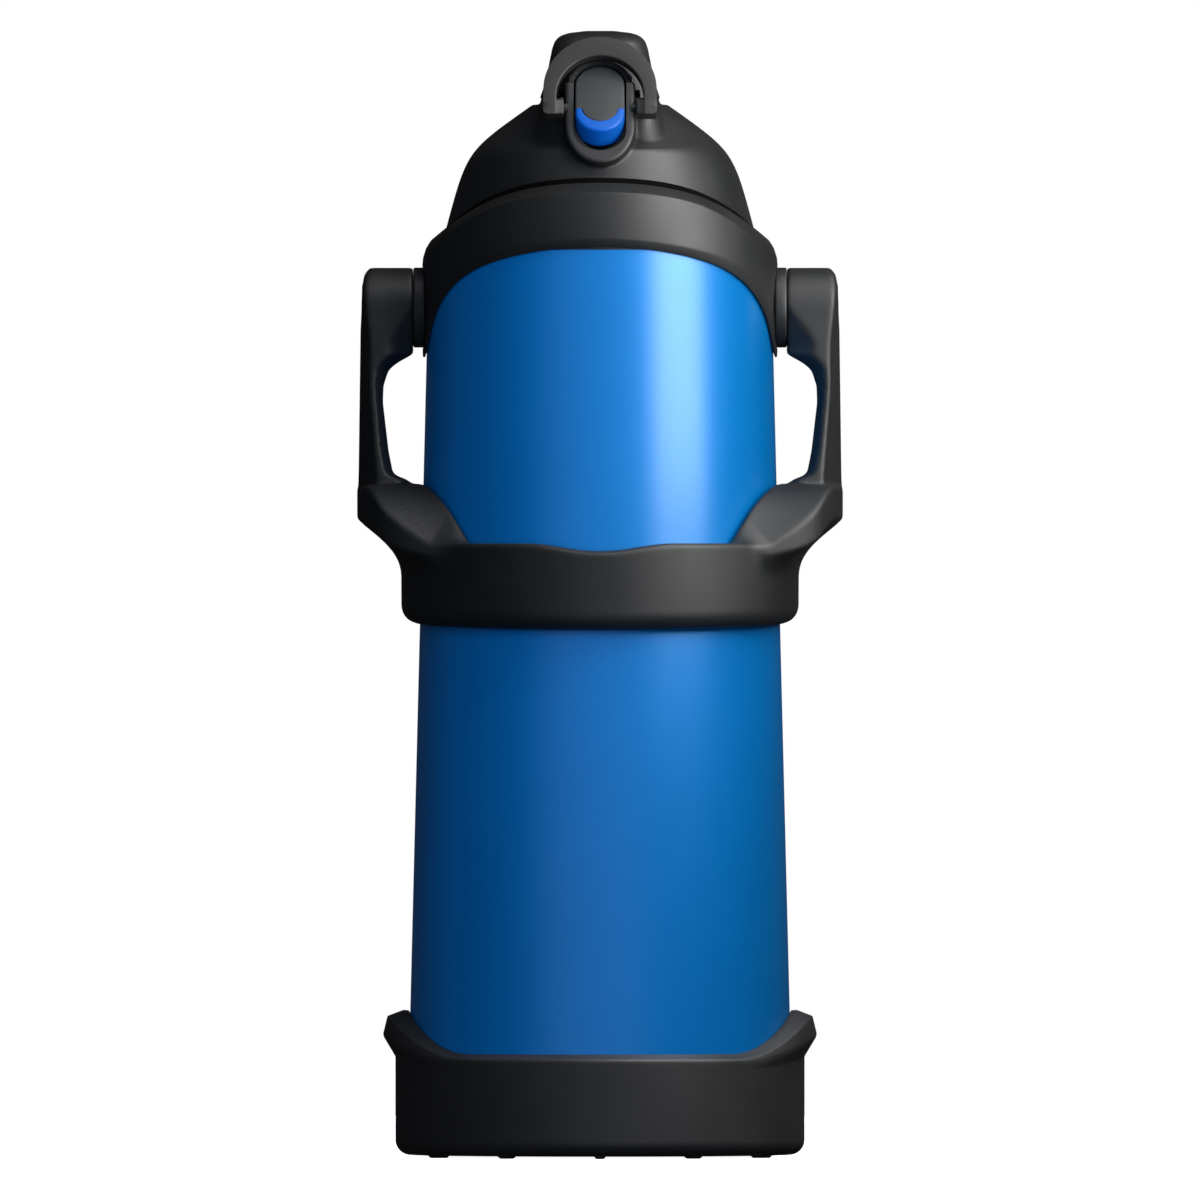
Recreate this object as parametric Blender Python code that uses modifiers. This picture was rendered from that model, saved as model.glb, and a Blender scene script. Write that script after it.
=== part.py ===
"""A large insulated water jug, with a sprung flip cap on its screw lid.

The body is two steel walls with a vacuum between them. It carries a shoulder collar, a swinging handle and a
bottom boot. The lid carries the flip cap, a lock ring and a push button.

The frame stands on the jug's axis: z is up from the surface it stands on, and the front faces -Y. Lengths are
given in millimetres, and every helper that makes a mesh turns them into metres.
"""

import math

import bmesh
import bpy
import numpy as np
from mathutils import Matrix, Vector

MM = 0.001
GAP = 0.3
TURN_STEPS = 32
LOFT_STEPS = 40

# Body. The outer wall is a cone, widest at its foot.
SHELL_R_AT_FLOOR = 67.7
SHELL_TAPER = 0.025
SHELL_FOOT_Z = 7.0
SHELL_WALL = 0.8
SHOULDER_Z = 317.0
SHOULDER_RISE = 5.0
SHOULDER_INNER_R = 46.0
NECK_R = 42.0
NECK_TOP_Z = 341.8
TANK_OFFSET = 4.8
TANK_WALL = 0.7
TANK_FOOT_Z = 16.0
TANK_CORNER_R = 8.0
TANK_SHOULDER_Z = 309.0
TANK_SHOULDER_RISE = 8.5
TANK_NECK_R = 39.9
FOIL_LOW_Z = 26.0
FOIL_HIGH_Z = 304.0
RIM_TOP_Z = 342.6
THREAD_PITCH = 6.0
THREAD_RIDGE_R = 1.1
THREAD_START_Z = 328.5
THREAD_TURNS = 1.5

# Collar.
COLLAR_R = 62.3
COLLAR_BORE_R = 54.95
COLLAR_LEDGE_R = 53.6
EAR_FLAT_X = 61.2

# Handle. The pivot's axis runs along X.
PIVOT_Z = 297.3
HEAD_R = 14.0
ARM_INNER_X = 65.4
TRUNNION_R = 5.5
TRUNNION_END_X = 76.2
COUNTERBORE_X = 76.5
COUNTERBORE_R = 8.2
SCREW_HOLE_R = 2.3
SCREW_HOLE_END_X = 66.0
SCREW_HEAD_R = 7.5
SCREW_HEAD_THICKNESS = 2.2
BAND_INNER_R = 64.0
BAND_OUTER_R = 71.75
BAND_BOTTOM_Z = 184.3
BAND_TOP_Z = 214.7
SHOULDER_OUTER_R = 85.0
ARM_LEVELS = (226, 236.5, 239.5, 250, 262, 270, 275.5, 278.5, 282, 290, 300, 305, 309, 311.2)
ARM_INSIDE_Z = (226.0, 236.5, 239.0, 247.0, 259.0, 264.0, 270.0, 275.5, 278.0, 281.0)
ARM_INSIDE_X = (66.0, 66.0, 72.4, 74.0, 75.4, 76.0, 75.8, 74.0, 71.0, ARM_INNER_X)
ARM_OUTSIDE_Z = (226.0, 240.0, 290.0, 305.0, 309.0, 311.3)
ARM_OUTSIDE_X = (84.9, 84.5, 83.8, 83.0, 82.2, 80.5)

# Boot. Its rim rises in a lobe at each side.
BOOT_R = 71.6
BOOT_FLOOR_Z = 0.8
BOOT_RIM_Z = 36.6
BOOT_LOBE_RISE = 14.8
BOOT_CORNER_R = 5.2
BOOT_PLATE_TOP_Z = 3.6
RIB_DEGREES = (-60, -30, 0, 30, 60, 120, 150, 180, 210, 240)
RIB_CENTRE_R = 65.0

# Lid. Its skirt is a cone that narrows upwards.
SKIRT_FOOT_Z = 323.4
SKIRT_FOOT_R = 54.3
SKIRT_SLOPE = 0.266
ROOF_CORNER = (46.7, 352.0)
ROOF_TOP = (23.6, 368.3)
DECK_Z = 370.0
CREASE_DEGREES = (0.0, 20.0, 32.6, 50.2, 64.4, 77.2, 90.0)
CREASE_Z = (350.9, 350.6, 349.6, 344.2, 337.8, 330.6, 325.0)
CAVITY = ((0, 362.5), (22, 362.5), (36, 354.6), (43, 349.3), (46.3, 344.8), (52, 324), (52, 310), (0, 310))
PLUG_FLOOR_Z = 333.0
LINING_FOOT_Z = 326.0

# The lid's front face leans back by FACE_TILT, and the button by BUTTON_TILT.
FACE_TILT = math.radians(25.0)
FACE_Y = -41.4
FACE_Z = 366.5
BUTTON_TILT = math.radians(40.0)
BUTTON_TOP = (0.0, -33.4, 381.3)
BUTTON_HALF_W = 8.6
BUTTON_LENGTH = 29.2
BUTTON_DEPTH = 9.3
BUTTON_TRAVEL = 2.0
BUTTON_SEAT = -BUTTON_DEPTH - BUTTON_TRAVEL - 0.6
MOUTH_FOOT_Z = 351.9
SPRING_V = -14.6
SPRING_WELL_R = 3.6
HOUSING_HALF_W = 12.25
HOUSING_FOOT_Z = 346.9
HOUSING_FOOT_RISE = 14.5
SPLIT_Z = 375.6
LOCK_PIVOT_Z = 366.5
LOCK_OFFSET = 0.8
LOCK_THICKNESS = 3.2
LOCK_STANDOFF = 0.2
HOUSING_RISE = 1.6
LOCK_BARREL_R = 3.85
LOCK_OUTER_R = 19.8
LOCK_INNER_R = 15.2
LOCK_HUB_R = 1.8

# Flip cap and spout.
HINGE_Y = 20.5
HINGE_Z = 370.8
KNUCKLE_R = 3.2
PIN_R = 1.15
PIN_BORE_R = 1.45
SPOUT_Y = -12.0
SPOUT_BORE_R = 6.5
SPOUT_WALL_R = 8.2
SPOUT_HOLE_R = 8.6
SPOUT_FLANGE_R = 11.2
SPOUT_FOOT_Z = 331.6
SPOUT_TOP_Z = 382.4
CAP_WALL = 2.0
CAP_FOOT_Z = 370.4
CAP_TOP_Z = 394.0
CAP_ROOF_Z = 390.8
ARCH_HALF_W = 11.2

parts = None
cutters = None


# ---------------------------------------------------------------- scene and materials


def clear_scene():
    """Empty the file and make the two collections."""
    global parts, cutters
    for obj in list(bpy.data.objects):
        bpy.data.objects.remove(obj, do_unlink=True)
    parts = bpy.data.collections.new("water_jug")
    cutters = bpy.data.collections.new("cutters")
    bpy.context.scene.collection.children.link(parts)
    bpy.context.scene.collection.children.link(cutters)


def material(name, colour, roughness, metallic=0.0):
    """A Principled material with one colour."""
    made = bpy.data.materials.new(name)
    made.use_nodes = True
    shader = made.node_tree.nodes["Principled BSDF"]
    shader.inputs["Base Color"].default_value = (*colour, 1.0)
    shader.inputs["Roughness"].default_value = roughness
    shader.inputs["Metallic"].default_value = metallic
    return made


# ---------------------------------------------------------------- shape helpers


def object_of(name, mesh, helper=False):
    """Link a mesh as a part, or as a cutter that is never rendered."""
    obj = bpy.data.objects.new(name, mesh)
    (cutters if helper else parts).objects.link(obj)
    if helper:
        obj.hide_render = True
        obj.display_type = "WIRE"
    return obj


def applied(obj):
    """The object's mesh with its modifiers applied."""
    bpy.context.view_layer.update()
    graph = bpy.context.evaluated_depsgraph_get()
    mesh = bpy.data.meshes.new_from_object(obj.evaluated_get(graph))
    obj.modifiers.clear()
    obj.data = mesh
    return obj


def recalculated(mesh, weld=1e-7):
    """Weld and turn every face outwards."""
    work = bmesh.new()
    work.from_mesh(mesh)
    bmesh.ops.remove_doubles(work, verts=work.verts, dist=weld)
    bmesh.ops.recalc_face_normals(work, faces=work.faces)
    work.to_mesh(mesh)
    work.free()
    return mesh


def turned(name, profile, steps=TURN_STEPS, helper=False, centre=(0.0, 0.0)):
    """A ring or disc turned about Z from a closed outline of (r, z), outer side first, top to bottom."""
    mesh = bpy.data.meshes.new(name)
    points = [(r * MM, 0.0, z * MM) for r, z in profile]
    edges = [(i, (i + 1) % len(points)) for i in range(len(points))]
    mesh.from_pydata(points, edges, [])
    obj = object_of(name, mesh, helper)
    screw = obj.modifiers.new("turn", "SCREW")
    screw.steps = steps
    screw.render_steps = steps
    screw.use_merge_vertices = True
    screw.merge_threshold = 1e-5
    applied(obj)
    recalculated(obj.data)
    obj.data.transform(Matrix.Translation((centre[0] * MM, centre[1] * MM, 0.0)))
    return obj


def lofted(name, sections, closed_path=False, helper=False):
    """A skin over equal-length closed sections of (x, y, z); an open path gets flat ends."""
    count = len(sections[0])
    points = [tuple(c * MM for c in point) for section in sections for point in section]
    faces = []
    spans = len(sections) if closed_path else len(sections) - 1
    for i in range(spans):
        first = i * count
        second = ((i + 1) % len(sections)) * count
        for j in range(count):
            k = (j + 1) % count
            faces.append((first + j, first + k, second + k, second + j))
    if not closed_path:
        faces.append(tuple(range(count)))
        faces.append(tuple(range((len(sections) - 1) * count, len(sections) * count)))
    mesh = bpy.data.meshes.new(name)
    mesh.from_pydata(points, [], faces)
    recalculated(mesh)
    return object_of(name, mesh, helper)


def around(name, section_at):
    """A ring about Z whose outline of (r, z) changes with the azimuth from the front."""
    sections = []
    for i in range(LOFT_STEPS):
        azimuth = 2 * math.pi * i / LOFT_STEPS
        c, s = math.cos(azimuth), math.sin(azimuth)
        sections.append([(r * s, -r * c, z) for r, z in section_at(azimuth)])
    return lofted(name, sections, closed_path=True)


def prism(name, outline, start, end, frame, helper=False):
    """A flat outline of (u, v) extruded between two depths along the third axis of a frame."""
    sections = []
    for depth in (start, end):
        sections.append([tuple(frame @ Vector((u, v, depth))) for u, v in outline])
    return lofted(name, sections, helper=helper)


def rod(name, radius, start, end, centre, helper=False, sides=24):
    """A cylinder along X between two x values, centred on (y, z)."""
    frame = Matrix.Translation((0.0, centre[0], centre[1])) @ AXIS_X
    outline = circle(radius, sides)
    return prism(name, outline, start, end, frame, helper)


def post(name, radius, low, high, centre=(0.0, 0.0), helper=False, sides=24):
    """A cylinder along Z between two heights, centred on (x, y)."""
    frame = Matrix.Translation((centre[0], centre[1], 0.0))
    return prism(name, circle(radius, sides), low, high, frame, helper)


def coil(name, radius, wire, start, length, turns, frame, per_turn=10):
    """A spring: a helix of wire along the third axis of a frame, as one closed tube."""
    steps = int(per_turn * turns)
    path = []
    for i in range(steps + 1):
        angle = 2 * math.pi * turns * i / steps
        depth = start + length * i / steps
        path.append(Vector((radius * math.cos(angle), radius * math.sin(angle), depth)))
    curve = bpy.data.curves.new(name, "CURVE")
    curve.dimensions = "3D"
    curve.bevel_depth = wire * MM
    curve.bevel_resolution = 0
    curve.use_fill_caps = True
    spline = curve.splines.new("POLY")
    spline.points.add(len(path) - 1)
    for point, place in zip(spline.points, path):
        point.co = (*(MM * (frame @ place)), 1.0)
    obj = bpy.data.objects.new(name + "_curve", curve)
    parts.objects.link(obj)
    bpy.context.view_layer.update()
    graph = bpy.context.evaluated_depsgraph_get()
    mesh = bpy.data.meshes.new_from_object(obj.evaluated_get(graph))
    bpy.data.objects.remove(obj, do_unlink=True)
    recalculated(mesh, 1e-6)
    return object_of(name, mesh)


def combine(obj, other, operation):
    """Join, cut or intersect an object with another."""
    boolean = obj.modifiers.new(operation.lower(), "BOOLEAN")
    boolean.operation = operation
    boolean.solver = "EXACT"
    boolean.object = other
    applied(obj)
    recalculated(obj.data)
    return obj


def cut(obj, *others):
    """Subtract the others from the object."""
    for other in others:
        combine(obj, other, "DIFFERENCE")
    return obj


def join(obj, *others):
    """Add the others to the object."""
    for other in others:
        combine(obj, other, "UNION")
        bpy.data.objects.remove(other, do_unlink=True)
    return obj


def rounded(obj, width, segments=2, angle=40.0):
    """Round the sharp edges of an object."""
    bevel = obj.modifiers.new("round", "BEVEL")
    bevel.width = width * MM
    bevel.segments = segments
    bevel.limit_method = "ANGLE"
    bevel.angle_limit = math.radians(angle)
    bevel.use_clamp_overlap = True
    applied(obj)
    return obj


def emit(obj, name, finish, origin=(0.0, 0.0, 0.0)):
    """Name a finished part, give it its material, smooth it and put its origin in place."""
    obj.name = name
    obj.data.name = name
    obj.data.materials.clear()
    obj.data.materials.append(finish)
    obj.data.shade_smooth()
    obj.data.set_sharp_from_angle(angle=math.radians(35.0))
    place = Vector(origin) * MM
    obj.data.transform(Matrix.Translation(-place))
    obj.location = place
    return obj


# ---------------------------------------------------------------- outlines


def circle(radius, sides=24, centre=(0.0, 0.0)):
    """A circle of points about a centre."""
    turn = 2 * math.pi / sides
    return [
        (centre[0] + radius * math.cos(i * turn), centre[1] + radius * math.sin(i * turn))
        for i in range(sides)
    ]


def arc(centre, radius, first, last, steps):
    """Points on an arc between two angles in degrees; the radius may be a pair for an ellipse."""
    rx, ry = radius if isinstance(radius, tuple) else (radius, radius)
    angles = np.radians(np.linspace(first, last, steps + 1))
    return [(centre[0] + rx * math.cos(a), centre[1] + ry * math.sin(a)) for a in angles]


def smooth_step(value):
    """0 to 1 with level ends."""
    t = min(max(value, 0.0), 1.0)
    return t * t * (3 - 2 * t)


def along(value, xs, ys):
    """A value read off a polyline."""
    return float(np.interp(value, xs, ys))


AXIS_X = Matrix(((0, 0, 1, 0), (1, 0, 0, 0), (0, 1, 0, 0), (0, 0, 0, 1)))


def tilted_frame(origin, tilt):
    """Axes on a face that leans back: X, up the slope, and out of the face."""
    up = Vector((0.0, math.sin(tilt), math.cos(tilt)))
    out = Vector((0.0, -math.cos(tilt), math.sin(tilt)))
    frame = Matrix.Identity(4)
    for row in range(3):
        frame[row][0] = (1.0, 0.0, 0.0)[row]
        frame[row][1] = up[row]
        frame[row][2] = out[row]
        frame[row][3] = origin[row]
    return frame


FACE = tilted_frame((0.0, FACE_Y, FACE_Z), FACE_TILT)
BUTTON = tilted_frame(BUTTON_TOP, BUTTON_TILT)
LOCK_V = (LOCK_PIVOT_Z - FACE_Z - LOCK_OFFSET * math.sin(FACE_TILT)) / math.cos(FACE_TILT)
LOCK = FACE @ Matrix.Translation((0.0, LOCK_V, LOCK_OFFSET))


def shell_r(z):
    """Radius of the painted wall at a height."""
    return SHELL_R_AT_FLOOR - SHELL_TAPER * z


def shoulder(offset, steps=4):
    """The wall's rounded shoulder from the wall inwards, moved outwards by an offset."""
    centre = (SHOULDER_INNER_R, SHOULDER_Z)
    reach = shell_r(SHOULDER_Z) - SHOULDER_INNER_R
    return arc(centre, (reach + offset, SHOULDER_RISE + offset), 0.0, 90.0, steps)


# ---------------------------------------------------------------- body


def outer_shell():
    """The outer steel wall, with its neck and a rolled thread ridge."""
    neck_base = SHOULDER_Z + SHOULDER_RISE
    outside = [(NECK_R, NECK_TOP_Z), (NECK_R, neck_base + 1.5), (NECK_R + 0.6, neck_base + 0.3)]
    outside += reversed(shoulder(0.0))
    outside += [(shell_r(SHELL_FOOT_Z + 2), SHELL_FOOT_Z + 2), (shell_r(SHELL_FOOT_Z) - 0.7, SHELL_FOOT_Z)]
    inside = [(shell_r(SHELL_FOOT_Z) - 1.5, SHELL_FOOT_Z), (shell_r(12) - SHELL_WALL, 12.0)]
    inside += shoulder(-SHELL_WALL)
    inside += [(NECK_R - SHELL_WALL, neck_base + 0.4), (NECK_R - SHELL_WALL, NECK_TOP_Z)]
    shell = turned("shell", outside + inside)
    rise = THREAD_TURNS * THREAD_PITCH
    upright = Matrix.Identity(4)
    ridge = coil("ridge", NECK_R + 0.1, THREAD_RIDGE_R, THREAD_START_Z, rise, THREAD_TURNS, upright, 24)
    return join(shell, ridge)


def outer_base():
    """The concave steel bottom, with a turned-up flange inside the wall."""
    rim = shell_r(SHELL_FOOT_Z) - 1.5 - GAP
    outline = [(rim, 11.0), (rim, 7.2), (rim - 3.0, 7.2), (rim - 12.0, 10.0), (0.0, 11.5)]
    outline += [(0.0, 12.3), (rim - 12.0, 10.8), (rim - 3.2, 8.0), (rim - 0.8, 8.0), (rim - 0.8, 11.0)]
    return turned("base", outline)


def tank_r(z):
    """Outer radius of the liner at a height."""
    return shell_r(z) - TANK_OFFSET


def inner_tank():
    """The liner: a round-bottomed can whose neck ends in a rim rolled over the outer wall's neck."""
    wall = TANK_WALL
    foot = (tank_r(TANK_FOOT_Z) - TANK_CORNER_R, TANK_FOOT_Z + TANK_CORNER_R)
    neck = (TANK_NECK_R + 1.0, TANK_SHOULDER_Z)
    reach = tank_r(TANK_SHOULDER_Z) - neck[0]
    outside = [(NECK_R, RIM_TOP_Z), (NECK_R, NECK_TOP_Z + GAP), (TANK_NECK_R + 0.6, NECK_TOP_Z + GAP)]
    outside += [(TANK_NECK_R, NECK_TOP_Z - 0.5), (TANK_NECK_R, 319.0)]
    outside += reversed(arc(neck, (reach, TANK_SHOULDER_RISE), 0.0, 90.0, 4))
    outside += arc(foot, TANK_CORNER_R, 0.0, -90.0, 3)
    outside += [(0.0, TANK_FOOT_Z)]
    inside = [(0.0, TANK_FOOT_Z + wall)]
    inside += reversed(arc(foot, TANK_CORNER_R - wall, 0.0, -90.0, 3))
    inside += arc(neck, (reach - wall, TANK_SHOULDER_RISE - wall), 0.0, 90.0, 4)
    inside += [(TANK_NECK_R - wall, 318.5), (TANK_NECK_R - wall, RIM_TOP_Z - GAP)]
    inside += [(TANK_NECK_R, RIM_TOP_Z)]
    return turned("tank", outside + inside)


def radiation_foil():
    """The foil sleeve round the liner."""
    low, high = FOIL_LOW_Z, FOIL_HIGH_Z
    outline = [(tank_r(high) + 0.8, high), (tank_r(low) + 0.8, low), (tank_r(low) + 0.4, low)]
    outline += [(tank_r(high) + 0.4, high)]
    return turned("foil", outline)


def collar_top(azimuth):
    """Height of the collar's upper edge, high at the front and back and low at the sides."""
    s = math.sin(azimuth) ** 2
    return 341.0 - 18.0 * s + 2.45 * math.sin(2 * azimuth) ** 2


def collar_bottom(azimuth):
    """Height of the collar's lower edge, which falls at each side into an ear round the pivot."""
    s = math.sin(azimuth) ** 2
    aside = COLLAR_R * (math.pi / 2 - abs(math.asin(math.sin(azimuth))))
    ear = 9.8 / (1 + (aside / 15.5) ** 4)
    return 318.2 - s * (10.5 + 18.0 * s) - ear


def collar_section(azimuth):
    """Outline of the collar in the plane at one azimuth, as (r, z)."""
    top = collar_top(azimuth)
    low = collar_bottom(azimuth)
    side = math.sin(azimuth) ** 4
    drop = 3.9 + 8.0 * side
    outline = [(COLLAR_BORE_R, top)]
    for angle in (30.0, 60.0, 90.0):
        bend = math.radians(angle)
        ellipse = (math.sin(bend), 1 - math.cos(bend))
        straight = (angle / 90.0, angle / 90.0)
        across = ellipse[0] * side + straight[0] * (1 - side)
        down = ellipse[1] * side + straight[1] * (1 - side)
        outline.append((COLLAR_BORE_R + (COLLAR_R - COLLAR_BORE_R) * across, top - drop * down))
    outline += [(COLLAR_R, low + 2.8), (shell_r(low) + 1.3, low), (shell_r(low) + GAP + 0.1, low)]
    outline += [(r, z) for r, z in shoulder(GAP + 0.1, 6) if r > COLLAR_LEDGE_R]
    ledge_z = SHOULDER_Z + SHOULDER_RISE
    outline += [(COLLAR_LEDGE_R, ledge_z), (COLLAR_BORE_R, ledge_z)]
    return outline


def collar():
    """The shoulder ring with its ears and the two trunnions that the arms turn on."""
    ring = around("ring", collar_section)
    axis = (0.0, PIVOT_Z)
    for side in (-1, 1):
        seat = rod("seat", HEAD_R + 0.9, side * EAR_FLAT_X, side * 70.0, axis, helper=True, sides=32)
        cut(ring, seat)
        join(ring, rod("trunnion", TRUNNION_R, side * (EAR_FLAT_X - GAP), side * TRUNNION_END_X, axis))
        hole_start = side * SCREW_HOLE_END_X
        cut(ring, rod("screw_hole", SCREW_HOLE_R, hole_start, side * 80.0, axis, helper=True, sides=16))
    return ring


def collar_retaining_ring():
    """The snap ring above the collar's inner ledge."""
    low = SHOULDER_Z + SHOULDER_RISE + GAP
    outer = COLLAR_BORE_R - 0.35
    inner = NECK_R + 1.0
    return turned("retainer", [(outer, low + 0.8), (outer, low), (inner, low), (inner, low + 0.8)])


def boot_rim(azimuth):
    """How far the boot's rim has risen towards its side lobes, 0 at the front and 1 at the sides."""
    from_front = math.degrees(abs(math.asin(math.sin(azimuth))))
    return smooth_step((from_front - 43.0) / 47.0)


def boot_section(azimuth):
    """Outline of the boot in the plane at one azimuth, as (r, z)."""
    e = boot_rim(azimuth)
    rim = BOOT_RIM_Z + BOOT_LOBE_RISE * e
    inner = shell_r(rim) + GAP + 0.1
    outline = [(inner, rim), (inner + 1.2 + 0.9 * e, rim - 0.7 + 0.8 * e)]
    outline += [(BOOT_R - 0.3 + 3.1 * e, rim - 2.8 + 0.8 * e), (BOOT_R + 4.3 * e, rim - 4.0 - 4.2 * e)]
    outline += [(BOOT_R + 4.0 * e, rim - 5.5 - 4.0 * e), (BOOT_R, 31.0 + 4.2 * e)]
    outline += arc((BOOT_R - BOOT_CORNER_R, BOOT_FLOOR_Z + BOOT_CORNER_R), BOOT_CORNER_R, 0.0, -90.0, 4)
    outline += [(58.0, BOOT_FLOOR_Z), (56.0, BOOT_FLOOR_Z + 0.8), (20.0, BOOT_FLOOR_Z + 0.8)]
    outline += [(20.0, BOOT_PLATE_TOP_Z), (57.0, BOOT_PLATE_TOP_Z), (60.0, SHELL_FOOT_Z - GAP)]
    outline += [(shell_r(SHELL_FOOT_Z) + GAP, SHELL_FOOT_Z - GAP), (shell_r(9.0) + GAP + 0.1, 9.5)]
    return outline


def base_boot():
    """The bottom cover with its raised side lobes and the ribs it stands on."""
    boot = around("boot", boot_section)
    for degrees in RIB_DEGREES:
        turn = Matrix.Rotation(math.radians(degrees), 4, "Z")
        foot = [tuple(turn @ Vector((x, -RIB_CENTRE_R + y, 0.0))) for x, y in box_outline(1.6, 3.0)]
        root = [tuple(turn @ Vector((x, -RIB_CENTRE_R + y, 1.6))) for x, y in box_outline(2.8, 4.2)]
        join(boot, lofted("rib", [foot, root]))
    return boot


def box_outline(half_x, half_y):
    """A rectangle about the origin."""
    return [(-half_x, -half_y), (half_x, -half_y), (half_x, half_y), (-half_x, half_y)]


def pivot_washer(side):
    """The disc between the ear and the arm."""
    frame = Matrix.Translation((0.0, 0.0, PIVOT_Z)) @ AXIS_X
    low, high = side * (EAR_FLAT_X + GAP), side * (ARM_INNER_X - GAP)
    washer = prism("washer", circle(HEAD_R, 32), low, high, frame)
    axis = (0.0, PIVOT_Z)
    bore = rod("washer_bore", TRUNNION_R + GAP, side * 60.0, side * 70.0, axis, helper=True)
    return cut(rounded(washer, 0.5), bore)


def pivot_screw(side):
    """The screw in the trunnion's end, whose head keeps the arm on."""
    axis = (0.0, PIVOT_Z)
    start = COUNTERBORE_X + GAP
    head = rod("screw", SCREW_HEAD_R, side * start, side * (start + SCREW_HEAD_THICKNESS), axis)
    shank_start = side * (SCREW_HOLE_END_X + 2 * GAP)
    shank = rod("shank", SCREW_HOLE_R - GAP, shank_start, side * (start + 0.6), axis, sides=16)
    socket = rod("socket", 2.2, side * (start + 1.1), side * 82.0, axis, helper=True, sides=6)
    return cut(join(head, shank), socket)


# ---------------------------------------------------------------- handle


def ramp_z(y):
    """Height of the handle's shoulder over the band, as it climbs from the front towards the arm."""
    t = min(max((y + 45.5) / 34.0, 0.0), 1.0)
    return BAND_TOP_Z + 21.0 * (1 - (1 - t) ** 2.9)


def band_section(azimuth):
    """Outline of the handle's grip band in the plane at one azimuth, as (r, z)."""
    degrees = math.degrees(azimuth)
    flare = smooth_step((degrees - 46.0) / 21.0)
    inner = BAND_INNER_R
    outer = BAND_OUTER_R - 2.2 * smooth_step((degrees - 50.0) / 40.0)
    bottom = BAND_BOTTOM_Z + 2.9 * (1 - math.cos(azimuth))
    wave = 2.3 * (1 - smooth_step((degrees - 16.0) / 12.0))
    shelf = outer + (SHOULDER_OUTER_R - outer) * flare
    inside_top = ramp_z(-inner * math.cos(azimuth)) - wave
    outside_top = min(ramp_z(-shelf * math.cos(azimuth)), 230.0 + 5.0 * flare) - wave * 1.2
    outline = [(inner + 0.9, inside_top), (shelf - 1.2, outside_top), (shelf, outside_top - 1.2)]
    ledge = outside_top - 2.0 - 5.0 * flare
    outline += [(shelf, ledge)]
    for t in (0.12, 0.3, 0.5, 0.75):
        reach = outer + (shelf - outer) * (1 - t) ** 2.6
        outline.append((reach, ledge + (204.0 - ledge) * t ** 0.8))
    outline += [(outer, 196.0)]
    outline += arc((outer - 5.5, bottom + 6.0), (5.5, 6.0), 0.0, -80.0, 3)
    outline += [(inner + 0.9, bottom), (inner, bottom + 0.9), (inner, inside_top - 0.9)]
    return outline


def band_and_shoulders():
    """The half-ring grip with a shoulder at each end, which runs straight back behind the pivots."""
    sections = []
    left = np.linspace(-101, -44, 12)
    front = np.linspace(-33, 33, 9)
    for degrees in (*left, *front, *-left[::-1]):
        azimuth = math.radians(min(abs(degrees), 90.0))
        c, s = math.cos(azimuth), math.copysign(math.sin(azimuth), degrees)
        behind = HEAD_R * max(abs(degrees) - 90.0, 0.0) / 11.0
        sections.append([(r * s, behind - r * c, z) for r, z in band_section(azimuth)])
    return lofted("band", sections)


def arm_section(z):
    """Outline of the right arm in a level plane, as (x, y)."""
    inner = along(z, ARM_INSIDE_Z, ARM_INSIDE_X)
    outer = along(z, ARM_OUTSIDE_Z, ARM_OUTSIDE_X)
    chord = math.sqrt(max(HEAD_R**2 - max(z - PIVOT_Z, 0.0) ** 2, 9.0))
    front = -min(chord, HEAD_R) - 3.0 * smooth_step((262.0 - z) / 30.0)
    back = min(chord, HEAD_R)
    bevel_in = min(3.0, 0.35 * (outer - inner))
    bevel_out = along(z, (226, 290, 312), (3.4, 1.2, 1.0))
    outline = [(inner, front + bevel_in), (inner + bevel_in, front), (outer - bevel_out, front)]
    outline += [(outer, front + 1.6 * bevel_out), (outer, back - 1.5), (outer - 1.5, back)]
    outline += [(inner + bevel_in, back), (inner, back - bevel_in)]
    return outline


def arm(side):
    """One arm, from inside the shoulder up to its round head."""
    sections = [[(side * x, y, z) for x, y in arm_section(z)] for z in ARM_LEVELS]
    return lofted("arm", sections)


def carry_handle():
    """The whole handle, bored for its two pivots."""
    handle = band_and_shoulders()
    for side in (-1, 1):
        join(handle, arm(side))
    axis = (0.0, PIVOT_Z)
    for side in (-1, 1):
        bore = rod("arm_bore", TRUNNION_R + GAP, side * 60.0, side * 80.0, axis, helper=True)
        cut(handle, bore)
        counterbore_start = side * COUNTERBORE_X
        cut(handle, rod("arm_counterbore", COUNTERBORE_R, counterbore_start, side * 90.0, axis, helper=True))
    return handle


def pivot_cap(side):
    """The flush cover in an arm's outer face."""
    cap = rod("cover", COUNTERBORE_R - GAP, side * 80.6, side * 83.3, (0.0, PIVOT_Z))
    return rounded(cap, 0.4)


# ---------------------------------------------------------------- lid


def skirt_r(z):
    """Radius of the lid's conical skirt at a height."""
    return SKIRT_FOOT_R - SKIRT_SLOPE * (z - SKIRT_FOOT_Z)


def crease_z(azimuth):
    """Height of the crease between the skirt's band and the roof."""
    from_front = math.degrees(abs(math.asin(math.sin(azimuth))))
    return along(from_front, CREASE_DEGREES, CREASE_Z)


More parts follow.
